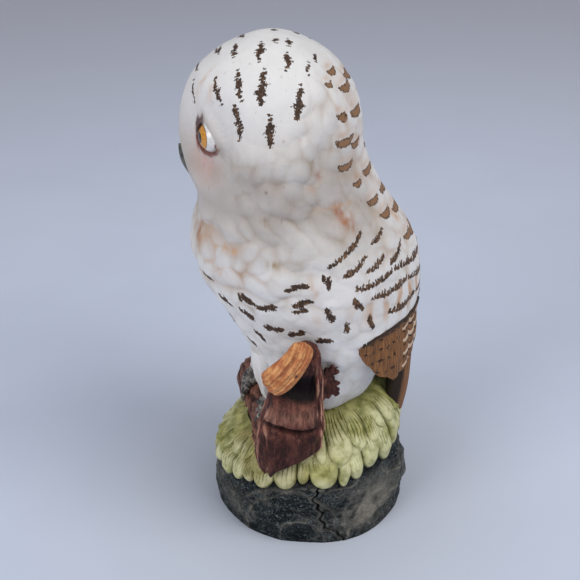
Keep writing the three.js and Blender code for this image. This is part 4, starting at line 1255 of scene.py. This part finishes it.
def stump_piece():
    """The snag: bark hooded round a torn hollow, a swelling lip under it and a ragged foot."""
    t, around = tube_ways(256, 300)
    z = mix(STUMP_FOOT, STUMP_TOP, t)
    x, y, half_depth, half_width = rows_at(STUMP_SECTIONS, z)
    cos, sin = np.cos(around), np.sin(around)
    ahead = np.sign(cos) * np.abs(cos) ** STUMP_SQUARENESS
    aside = np.sign(sin) * np.abs(sin) ** STUMP_SQUARENESS
    face = smooth((cos - 0.05) / 0.5) * smooth((0.86 - aside) / 0.22) * smooth((0.97 + aside) / 0.12)
    flank = 1 - face
    step, = rows_at(STUMP_FACE, z + 0.1 * aside * half_width + 0.7 * np.sin(3.5 * aside + 0.5))
    skin = vec(x + half_depth * ahead, y + half_width * aside, z)
    bend = 1.2 * np.sin(z / 9 + 0.6) + 1.5 * noise(skin, 9, 50)
    grain = vec(ahead * 8, aside * 10 + bend, z * 0.16)
    grooves = np.abs(noise(grain, 1.7, 51)) + 0.4 * noise(grain, 0.8, 52)
    relief = 0.7 * (grooves - 0.35) * mix(0.45, 1.0, flank)
    relief = relief + 0.4 * noise(skin, 5, 53) + 0.12 * noise(skin, 1.3, 54)
    shrink = np.sqrt(np.clip((STUMP_TOP + 0.4 - z) / 3, 0.02, 1))
    torn = 2.2 * (0.5 + 0.5 * np.sin(7 * around + 1)) * smooth((36 - z) / 6)
    torn = torn + 5.0 * smooth((aside + 0.3) / 1.1) * smooth((44 - z) / 13)
    grid = vec(x + (half_depth + relief) * ahead * shrink + face * step,
               y + (half_width + relief) * aside * shrink, z + torn)
    # Painted shadow: near black in the torn hollow under the heartwood. The face below the crease and the
    # bark's cracks are darkened too.
    hollow_shadow = 1.1 * np.clip(-step / 2.2, 0, 1) * face
    low = 0.42 * face * smooth((51 - z) / 4)
    cracks = np.clip(0.45 - 1.7 * grooves, 0, 0.5) * mix(0.5, 1, flank)
    near_side = smooth((aside - 0.6) / 0.25) * smooth((78 - z) / 10)
    far_side = 0.6 * smooth((-aside - 0.45) / 0.3) * smooth((66 - z) / 10)
    stripe = smooth((grooves - 0.3) / 0.35) * (near_side + far_side)
    # Painted highlight: the swelling lip is painted paler, where light falls on it.
    lip = 0.3 * face * bell(z, 57.5, 3.2)
    layers = {"hollow": np.clip(hollow_shadow + low + cracks, 0, 1), "stripe": np.clip(stripe + lip, 0, 1)}
    tube_piece("snag", grid, layers, "bark", "stump")


def route_frame(route, rows):
    """The share of the way, the points and the directions along a smooth route through given points."""
    route = np.asarray(route, float)
    along = np.concatenate([[0], np.cumsum(np.linalg.norm(np.diff(route, axis=0), axis=1))])
    t = np.linspace(0, along[-1], rows)
    centre = np.stack(rows_at(np.column_stack([along, route]), t), axis=-1)
    forward = unit(np.gradient(centre, axis=0))
    return t / along[-1], centre, forward


# Points down the heartwood's middle, and its half width and half thickness along the way.
HEARTWOOD_ROUTE = ((36.6, 4.4, 85.2), (38.4, 3.2, 81.4), (39.5, 0.8, 77.8), (40.2, -2.4, 74.4),
                   (40.3, -5.2, 71.8), (38.8, -7.6, 69.8))
HEARTWOOD_HALVES = ((0, 2.4, 1.8), (0.12, 3.8, 2.5), (0.35, 4.5, 2.9), (0.6, 5.0, 3.1),
                    (0.82, 5.2, 3.0), (1, 4.3, 2.0))


def heartwood_piece():
    """The pale heartwood: it curls down from the snag's tip and swells to a rolled lower end."""
    t, centre, forward = route_frame(HEARTWOOD_ROUTE, 170)
    out = unit(np.cross(forward, np.cross(np.array([1.0, 0, 0.15]), forward)))
    wide = np.cross(out, forward)
    tt, around = tube_ways(170, 180)
    cos, sin = np.cos(around), np.sin(around)
    half_wide, half_out = (f[:, None] for f in rows_at(HEARTWOOD_HALVES, t))
    edge = np.sqrt(smooth(t / 0.06) * smooth((1 - t) / 0.07) * 0.9 + 0.1)[:, None]
    across = half_wide * sin + 0.7 * np.sin(3.4 * tt + 0.4)
    twist = noise(vec(across * 0.5, tt * 4, 0 * tt), 1.4, 80)
    fold = 0.3 * np.sin(1.9 * across + 2.2 * twist) * (0.3 + 0.7 * np.maximum(cos, 0))
    cut = 0.16 * noise(vec(across * 2.2, tt * 3, cos), 0.8, 81)
    groove = bell(across, -0.8, 0.42) * smooth((tt - 0.12) / 0.1) * smooth((0.8 - tt) / 0.2) * (cos > 0)
    knot = bell(tt, 0.5, 0.035) * bell(sin, 0.62, 0.12) * (cos > 0)
    radial = (half_out + fold + cut - 0.3 * groove - 0.8 * knot) * edge
    grid = (centre[:, None, :] + out[:, None, :] * (radial * cos)[..., None]
            + wide[:, None, :] * ((half_wide + cut) * edge * sin)[..., None])
    # Painted shade on the heartwood's underside; the groove and the knot are darkened too.
    under = smooth((-cos - 0.05) / 0.3)
    layers = {"grain": across * 2.4, "hollow": np.clip(0.4 * groove + knot + 0.8 * under, 0, 1)}
    tube_piece("heartwood", grid, layers, "heartwood", "stump_heartwood")


def flake_piece():
    """A ragged flake of bark standing between the snag and the owl."""
    u, v = plate_ways(70, 90)
    ragged = 0.6 * np.sin(17 * v) + 0.5 * np.sin(31 * v + 1) + 0.8 * np.sin(7 * v)
    x = mix(33, 31.8, u)
    y = mix(11.4, 16 + ragged, u)
    z = mix(59.5, 71, v) + 1.5 * np.sin(2.5 * u) + 0.5 * np.sin(13 * u)
    skin = vec(x, y, z)
    relief = 0.35 * noise(skin * [1, 1, 0.4], 1.2, 85)
    thick = mix(1.1, 0.35, u**2)
    outer = skin + vec(thick + relief, 0, 0)
    inner = skin - vec(thick, 0, 0)
    layers = {"hollow": np.clip(0.35 - relief, 0, 0.8), "stripe": 0 * u}
    plate_piece("flake", outer, inner, layers, "bark", "bark_flake")


# ---- Legs and feet ----------------------------------------------------------------------------

FEET = {"left": 11.5, "right": -8.5}
# Down a leg, from 0 to 1: height above the log, half width and half depth.
LEG_SECTIONS = ((0, 26, 7.2, 6.2), (0.25, 18, 7.2, 6), (0.5, 12, 6.6, 5.4), (0.75, 7, 5.6, 4.6),
                (1, 3.2, 4.6, 3.8))


TOE_ROWS, TOE_COLUMNS = 80, 28
# The share of a toe's length where its talon starts.
TALON_START = 0.68


def perch(x):
    """The top of the fallen log above a place along X."""
    t = (x - LOG_FAR[0]) / (LOG_NEAR[0] - LOG_FAR[0])
    return LOG_FAR + (LOG_NEAR - LOG_FAR) * t + [0, 0, LOG_RADIUS]


def leg_piece(label):
    """A leg in long hanging feathers that part over the toes."""
    x0 = FEET[label]
    seat = perch(x0)
    t, around = tube_ways(110, 150)
    height, half_wide, half_deep = rows_at(LEG_SECTIONS, t)
    y0 = mix(-8.0, seat[1] - 2.4, t)
    wander = noise(vec(np.cos(around) * 5, np.sin(around) * 5, t * 9), 3.4, 96)
    strand = np.sin(8 * around + 2.6 * wander + 1.5 * t) * (0.3 + 0.16 * wander) * smooth(t * 3)
    loose = 0.45 * noise(vec(np.cos(around) * 8, np.sin(around) * 8, t * 8), 2.2, 95)
    close = 1 - 0.55 * smooth((t - 0.93) / 0.07)
    grid = vec(x0 + (half_wide + strand + loose) * np.cos(around) * close,
               y0 + (half_deep + strand + loose) * np.sin(around) * close,
               seat[2] + height + 1.4 * np.sin(7 * around) * smooth((t - 0.8) / 0.2))
    # Between the strands: taupe, partly wash and partly painted shade, darker still on the lower leg.
    hollow = np.clip(0.5 - strand * 1.1, 0, 1) * smooth(t * 2)
    wash = tinted(np.broadcast_to(WHITE, grid.shape).copy(), 0.55 * hollow, TAUPE)
    wash = tinted(wash, 0.5 * hollow * smooth((t - 0.6) / 0.4), rgb(120, 104, 92))
    layers = bare_layers(wash)
    tube_piece(f"feathered_leg_{label}", grid, layers, "feathers", f"leg_{label}")


def toe_grid(x0, seat, spread):
    """One scaly toe that ends in a curved talon, and the dark between its scales."""
    reach = ((0.4, -1.2, 1.6), (0.9, -4.8, 0.9), (1.1, -7.8, -2.0), (1.2, -9.5, -6.4), (1.25, -9.2, -10.2))
    route = [(x0 + spread * wide, seat[1] + y, seat[2] + z) for wide, y, z in reach]
    t, centre, forward = route_frame(route, TOE_ROWS)
    aside = unit(np.cross(forward, [0, 0.4, 1.0]))
    along, around = tube_ways(TOE_ROWS, TOE_COLUMNS)
    scaly = along < TALON_START
    scales = 0.14 * np.abs(np.sin(along * 34)) * scaly
    radius = np.interp(along, [0, 0.2, 0.45, 0.64, 0.7, 0.85, 1], [1.7, 1.6, 1.45, 1.35, 1.05, 0.75, 0.25])
    radius = radius * (1 + 0.04 * np.cos(2 * around)) + scales
    ring = ring_ways(around, np.cross(aside, forward)[:, None, :], aside[:, None, :])
    stripes = smooth((np.sin(along * 17 + spread) * np.cos(around * 0.5) - 0.1) / 0.4)
    dark = np.clip(0.75 * stripes + 0.5 - scales * 4, 0, 1) * scaly
    return centre[:, None, :] + ring * radius[..., None], dark


def foot_piece(label):
    """Three toes spread over the log."""
    x0 = FEET[label]
    seat = perch(x0)
    points, faces, hollow = [], [], []
    for spread in (-3.9, 0.0, 3.9):
        grid, dark = toe_grid(x0, seat, spread)
        toe, toe_faces = closed_tube(grid)
        faces += [face + len(points) * len(toe) for face in toe_faces]
        points.append(toe)
        hollow.append(np.concatenate([dark.ravel(), [0.5, 0.5]]))
    layers = {"hollow": np.concatenate(hollow)}
    build_piece(f"toes_{label}", np.vstack(points), faces, layers, "claws", f"foot_{label}")


# ---- Rock and leaves --------------------------------------------------------------------------

# The rock's middle, how far its shoulder lies inside its widest place, and its ceiling's height.
ROCK_X, ROCK_Y = 4.0, 7.3
SHOULDER_INSET = 2.6
CEILING_Z = 22.0


def rock_radius(angle):
    """The rock's radius at its widest, by the angle from its front towards its left."""
    return 34.6 + 1.6 * np.cos(angle - 1.8) + 0.5 * np.sin(3 * angle + 0.6) + 0.3 * np.sin(7 * angle)


def deck_radius(angle):
    return 18.5 - 6.5 * np.cos(angle)


def rim_height(angle):
    return 29 - 5.5 * np.cos(angle) + 0.7 * np.sin(4 * angle + 1)


def rock_place(angle, radius, z):
    return vec(ROCK_X + radius * np.sin(angle), ROCK_Y - radius * np.cos(angle), z)


def rock_point(angle, s):
    """A point on the rock's skin: s is 0 at the deck's edge, 1 at the shoulder, 2 at the table."""
    angle, s = np.broadcast_arrays(angle, s)
    rim = rim_height(angle)
    shoulder = rock_radius(angle) - SHOULDER_INSET
    inner = np.clip(s, 0, 1)
    bulge = 1.5 - 0.5 * np.cos(angle)
    top_radius = mix(deck_radius(angle), shoulder, np.minimum(s, 1))
    top_z = mix(DECK_Z, rim, inner**bulge)
    t = np.clip(s - 1, 0, 1)
    swell = 3 * np.sin(math.pi * np.minimum(0.75 * t, 0.5)) - 0.4 * smooth((t - 0.7) / 0.3)
    below = s > 1
    return rock_place(angle, np.where(below, shoulder + swell, top_radius),
                      np.where(below, mix(rim, 0, t), top_z))


def rock_normal(angle, s):
    along = rock_point(angle, s + 0.01) - rock_point(angle, s - 0.01)
    around = rock_point(angle + 0.01, s) - rock_point(angle - 0.01, s)
    return unit(np.cross(along, around))


CRACK_ANGLE = 1.72
# The vent's radius, and how far it lies behind the rock's middle.
VENT_RADIUS, VENT_BACK = 4.5, 4.7


def rock_skin(angle, s):
    """The rock's craggy outside: its points, and how pale and how dark each one is painted."""
    base, normal = rock_point(angle, s), rock_normal(angle, s)
    z = base[..., 2]
    bare = smooth((s - 1.02) / 0.12)
    broad, middling = np.abs(noise(base, 12, 61)), np.abs(noise(base * [1, 1, 1.3], 5, 62))
    ledges = 1.5 * (0.42 - broad) + 0.9 * (0.4 - middling)
    ledges = ledges + 0.4 * noise(base, 2.2, 64) + 0.2 * noise(base, 1.1, 65)
    facet = bell(angle, 2.25, 0.36) * bell(z, 14, 8)
    dent = bell(angle, 2.95, 0.45) * (1.7 * bell(z, 25, 4) - 0.9 * bell(z, 15, 5))
    strata = 0.28 * np.sin(z + 5 * angle + 3 * noise(base, 10, 66)) * facet
    crack_line = (CRACK_ANGLE - 0.08 + 0.03 * np.sin(z * 0.55) + 0.02 * np.sin(z * 1.5)
                  + 0.26 * smooth((16 - z) / 18))
    crack = bell(angle, crack_line, 0.009)
    lip = bell(angle, crack_line - 0.03, 0.014) + 0.5 * bell(angle, crack_line + 0.026, 0.012)
    arch_z = 23 - 7 * np.clip((angle - 1.32) / 0.42, -1.2, 1.2) ** 2
    arch = smooth((0.55 - np.abs(angle - 1.32)) / 0.15) * bell(z, arch_z, 0.9)
    relief = ledges - 1.9 * facet - dent + strata - 1.3 * crack + 0.3 * lip + 0.5 * arch
    relief = relief * bare * mix(0.25, 1, smooth(z / 2.2)) - 0.35 * (1 - bare)
    outside = base + normal * relief[..., None]
    outside[-1, :, 2] = 0
    outside = np.maximum(outside, [-1e9, -1e9, 0])
    grit = 0.5 + 0.5 * noise(outside, 1.6, 67)
    high = np.clip(ledges - 0.35, 0, 1)
    crest = smooth((0.06 - broad) / 0.05) + 0.6 * smooth((0.05 - middling) / 0.04)
    pale = 1.15 * facet * smooth((ledges + 0.9) / 1.2) + 0.3 * bell(angle, 0.62, 0.2) * bell(z, 9, 6)
    # The pale on the crack's lip is a painted highlight.
    pale = pale + grit * (0.75 * high + 0.6 * crest * bare) + 0.3 * lip * bare + 0.35 * arch
    # Painted shade: dark in the crack, in a band just under the shoulder below the leaves, in the low
    # places and along the foot.
    hollow = crack * bare + 0.7 * bell(s, 1.1, 0.08) + 0.4 * np.clip(-ledges, 0, 1)
    hollow = np.clip(hollow + 0.5 * smooth((1.4 - z) / 1.4), 0, 1)
    return outside, np.clip(pale, 0, 1), hollow


def rock_inside(angle):
    """Rings from the foot ring up the inner wall, over the ceiling and out through the vent."""
    arch_foot = CEILING_Z - 7
    rings = [(6.0, 0.0), (6.4, 0.5)]
    rings += [(mix(6.4, 9, share), mix(0.5, arch_foot, share)) for share in np.linspace(0.1, 1, 8)]
    rings += [(mix(9, 16, share), arch_foot + 7 * math.sin(share * math.pi / 2))
              for share in np.linspace(0.2, 1, 5)]
    wall = [rock_place(angle, rock_radius(angle) - inset, z) for inset, z in rings]
    ceiling = [rock_place(angle, mix(rock_radius(angle) - 16, VENT_RADIUS, share), CEILING_Z)
               + [0, VENT_BACK * share, 0] for share in np.linspace(0.15, 1, 5)]
    vent = [rock_place(angle, VENT_RADIUS, z) + [0, VENT_BACK, 0]
            for z in np.linspace(CEILING_Z + 2, DECK_Z, 6)]
    return np.stack(wall + ceiling + vent)


def rock_piece():
    """The craggy rock, cast hollow with a foot ring, a ceiling and a vent."""
    columns = 560
    turn = np.linspace(0, TAU, columns, endpoint=False)
    # Columns stand closer together beside the crack.
    angle_row = turn - 0.55 * (np.sin(turn - CRACK_ANGLE) + math.sin(CRACK_ANGLE))
    s_rows = np.concatenate([np.linspace(0, 0.95, 20), np.linspace(0.98, 2, 116)])
    outside, pale, hollow = rock_skin(*np.meshgrid(angle_row, s_rows))
    inside = rock_inside(angle_row)
    grid = np.concatenate([outside, inside])
    unpainted = np.zeros(inside.shape[:2])
    rows = len(grid) + 1
    faces = quads(rows, columns, True) % grid[..., 0].size
    points = grid.reshape(-1, 3)
    faces, = facing_out(points, faces)
    layers = {"pale": np.concatenate([pale, unpainted + 0.55]).ravel(),
              "hollow": np.concatenate([hollow, unpainted]).ravel()}
    build_piece("rock", points, faces, layers, "rock", "base_rock")


LEAF_COUNT = 16

# Of each leaf: how far its lower and upper blades reach down the rock, the share of the lower
# blade's width that its first lobe takes, and the leaf's lift over its neighbours in mm.
LEAF_SHAPES = (
    (1.27, 1.04, 0.42, 0.3), (1.24, 0.98, 0.55, 0.0), (1.18, 1.0, 0.4, 0.4), (1.14, 0.9, 0.6, 0.0),
    (1.2, 0.96, 0.7, 0.5), (1.14, 0.84, 0.45, 0.1), (1.12, 0.78, 0.6, 0.4), (1.1, 0.82, 0.5, 0.0),
    (1.14, 0.86, 0.4, 0.4), (1.1, 0.8, 0.6, 0.0), (1.16, 0.86, 0.5, 0.4), (1.12, 0.9, 0.36, 0.1),
    (1.2, 0.94, 0.62, 0.4), (1.15, 0.98, 0.45, 0.0), (1.22, 0.96, 0.56, 0.3), (1.25, 1.02, 0.4, 0.0),
)

# Leaves whose roots stop short of the fallen log.
BESIDE_LOG = (15, 0, 1, 2)


def leaf_blade(index, middle, half, start, reach, split, lift, seed):
    """A blade of two rounded lobes laid from start to reach down the rock, with fanned veins."""
    u, v = plate_ways(92, 84, -1)
    meeting = 2 * split - 1 + 0.06 * np.sin(5 * v + index)
    first = u < meeting
    within = np.where(first, 2 * (u + 1) / (meeting + 1) - 1, 2 * (u - meeting) / (1 - meeting) - 1)
    within = np.clip(within, -1, 1)
    random = np.random.default_rng(seed)
    longer = np.where(first, random.uniform(-0.05, 0.05), random.uniform(-0.05, 0.05))
    rounded = np.sqrt(np.maximum(1 - within**2, 0))
    notch = 0.16 if reach > 1.05 else 0.26
    s = mix(start, reach + longer - notch * (1 - rounded) - 0.05 * u**2, v)
    spread = mix(0.8, 1.12, smooth(v * 1.6)) * (1 - 0.12 * smooth((v - 0.85) / 0.15))
    angle = middle + u * half * spread
    base, normal = rock_point(angle, s), rock_normal(angle, s)
    wander = noise(base, 5, 74)
    fan = within * random.uniform(2.6, 3.6) + 0.5 * wander + 0.25 * noise(base, 2, 73)
    line = np.abs(fan - np.round(fan))
    broken = smooth((noise(base * [1, 1, 0.6], 3.4, 77) + 0.5) / 0.5)
    vein = (1 - smooth(line / 0.19)) * broken * smooth((0.97 - v) / 0.22)
    puff = rounded * bell(v, 0.8, 0.26)
    groove = np.abs(within) ** 9 * smooth((v - 0.35) / 0.4)
    rim = np.sqrt(np.clip((1 - v) / 0.08, 0, 1))
    edge = np.sqrt(np.clip((1 - np.abs(u)) / 0.07, 0, 1))
    body = 1.25 + lift * smooth(v * 2) + 0.75 * puff - 0.85 * groove - 0.34 * vein
    body = body + 0.45 * noise(base, 4.5, 75) + 0.22 * noise(base, 1.9, 76)
    body = body * rim * mix(0.35, 1, edge)
    behind = float(smooth(0.3 - math.cos(middle)))
    outer = base + normal * (0.35 + body)[..., None]
    outer[..., 2] += 4.5 * behind * (1 - v) ** 2
    inner = base + normal * (0.15 + 0.35 * lift * v)[..., None]
    # Painted shade: darker along the side edges and the tip's rim, in the groove between the lobes and
    # near the root.
    hollow = 0.7 * (1 - edge) * smooth((0.95 - v) / 0.3) + 0.7 * smooth((v - 0.975) / 0.025)
    hollow = hollow + 0.9 * groove * smooth((1.02 - v) / 0.1) + 0.3 * smooth((0.3 - v) / 0.3)
    # Painted highlight on the puffed middle of each lobe.
    pale = puff * smooth((wander + 0.6) / 0.7)
    log_side = bell(middle, 1.15, 0.5) + bell(middle - TAU, -0.9, 0.5)
    stain = log_side * (0.25 + 0.75 * smooth((0.8 - v) / 0.6))
    layers = {"vein": vein, "hollow": np.clip(hollow, 0, 1), "stain": np.clip(stain, 0, 1), "pale": pale}
    return plate_parts(outer, inner, layers)


def leaf_piece(index):
    """One leaf: a long lower blade, and a shorter upper blade that laps over it."""
    reach, upper_reach, split, lift = LEAF_SHAPES[index]
    pitch = TAU / LEAF_COUNT
    middle = pitch * (index + 0.5)
    start = 0.5 if index in BESIDE_LOG else -0.4 * float(smooth(0.3 - math.cos(middle)))
    blades = (leaf_blade(index, middle, 0.53 * pitch, start, reach, split, lift, 200 + index),
              leaf_blade(index, middle + 0.2 * pitch, 0.5 * pitch, start, upper_reach, 1 - split,
                         lift + 1.15, 300 + index))
    points, faces, layers = zip(*blades)
    faces = np.vstack([faces[0], faces[1] + len(points[0])])
    layers = {key: np.concatenate([layer[key] for layer in layers]) for key in layers[0]}
    name = f"leaf_{index + 1:02d}"
    build_piece(name + "_lobes", np.vstack(points), faces, layers, "leaves", name)


# ---- Build ------------------------------------------------------------------------------------

LOOKS = {"feathers": feather_material(), "primaries": primary_material(), "bark": bark_material(),
         "heartwood": heartwood_material(), "leaves": leaf_material(), "rock": rock_material(),
         "claws": claw_material(), "beak": beak_material(), "eye": eye_material()}

torso_piece()
head_piece()
beak_piece()
for label, side in SIDES:
    eye_piece(label, side)
    wing_piece(label, side)
    primaries_piece(label, side)
    leg_piece(label)
    foot_piece(label)
tail_piece()
undertail_piece()
log_piece()
far_end_piece()
stump_piece()
heartwood_piece()
flake_piece()
rock_piece()
for leaf in range(LEAF_COUNT):
    leaf_piece(leaf)


# ---- Floor, light and camera ------------------------------------------------------------------

HEIGHT = HEAD_HIGH.z
LAMP_SIZE = 4.525 * HEIGHT
CAMERA_DISTANCE = 2.155 * HEIGHT
CAMERA_TARGET = np.array([AXIS[0], AXIS[1], 0.4734 * HEIGHT])
CAMERA_RISE = math.radians(30)
LENS = 66.04


def backdrop():
    """A pale sweep: a level floor that curves up all round the object."""
    recipe = Recipe("paper_sweep")
    cloud = recipe.noise(60.0, detail=2.0)
    flat = recipe.vector_math("MULTIPLY", recipe.place, (1, 1, 0))
    away = recipe.add("ShaderNodeVectorMath", {0: flat}, operation="LENGTH").outputs["Value"]
    colour = recipe.blend(recipe.ramp(cloud, 0.2, 0.8), rgb(203, 211, 227), rgb(207, 215, 231))
    # Painted light: the sweep darkens with distance, as the light falls off, and darkens a little close
    # round the object as painted shadow.
    colour = recipe.blend(recipe.ramp(away, 150, 760, 0.0, 1.0), colour, rgb(190, 191, 201))
    colour = recipe.blend(recipe.ramp(away, 30, 120, 1.0, 0.0), colour, rgb(198, 204, 215))
    normal = recipe.bump(recipe.noise(1.0), 0.01)
    material = recipe.finish(colour, recipe.ramp(cloud, 0.2, 0.8, 0.85, 0.9), normal, specular=0.1)
    reach, radius = 9 * HEIGHT, 3 * HEIGHT
    bend = [(reach + radius * math.sin(a), radius - radius * math.cos(a))
            for a in np.linspace(0.1, math.pi / 2, 14)]
    line = [(0.0, 0.0), (reach, 0.0)] + bend + [(reach + radius, 8 * HEIGHT)]
    around = np.linspace(0, TAU, 96, endpoint=False)
    points = [(r * math.cos(a), r * math.sin(a), z) for r, z in line for a in around]
    faces = quads(len(line), len(around), True).tolist()
    mesh = bpy.data.meshes.new("sweep")
    mesh.from_pydata(points, [], faces)
    mesh.shade_smooth()
    mesh.materials.append(material)
    sweep = bpy.data.objects.new("sweep", mesh)
    bpy.context.scene.collection.objects.link(sweep)


def aimed(thing, place, target):
    """Stands a camera or lamp at a place and turns it to look at a target."""
    thing.location = place
    thing.rotation_euler = (Vector(target) - Vector(place)).to_track_quat("-Z", "Y").to_euler()
    bpy.context.scene.collection.objects.link(thing)


def lamp(name, place, power, colour):
    """A soft round lamp aimed at the owl. place is in heights of the owl, and power in watts."""
    light = bpy.data.lights.new(name, "AREA")
    light.shape = "DISK"
    light.size = LAMP_SIZE
    light.energy = power
    light.color = colour
    aimed(bpy.data.objects.new(name, light), np.array(place) * HEIGHT, (0, 0, 0.5 * HEIGHT))


def studio():
    """Soft light from above the owl's back and from its front left, under a pale sky."""
    world = bpy.data.worlds.new("studio")
    bpy.context.scene.world = world
    world.use_nodes = True
    sky = world.node_tree.nodes["Background"]
    sky.inputs["Color"].default_value = rgba(rgb(220, 223, 230))
    sky.inputs["Strength"].default_value = 0.66
    lamp("key", (2.04, 3.62, 5.09), 5.7, (1.0, 0.99, 0.975))
    lamp("fill", (4.81, -5.09, 3.39), 7.4, (0.99, 0.99, 1.0))
    bpy.context.scene.view_settings.view_transform = "Standard"


def camera():
    """Level with the owl's left side, from 30 degrees above."""
    back = np.array([math.cos(CAMERA_RISE), 0.0, math.sin(CAMERA_RISE)])
    lens = bpy.data.cameras.new("camera")
    lens.sensor_width = 36.0
    lens.lens = LENS
    lens.clip_start = 0.01
    lens.clip_end = 50
    view = bpy.data.objects.new("camera", lens)
    aimed(view, CAMERA_TARGET + back * CAMERA_DISTANCE, CAMERA_TARGET)
    bpy.context.scene.camera = view


backdrop()
studio()
camera()
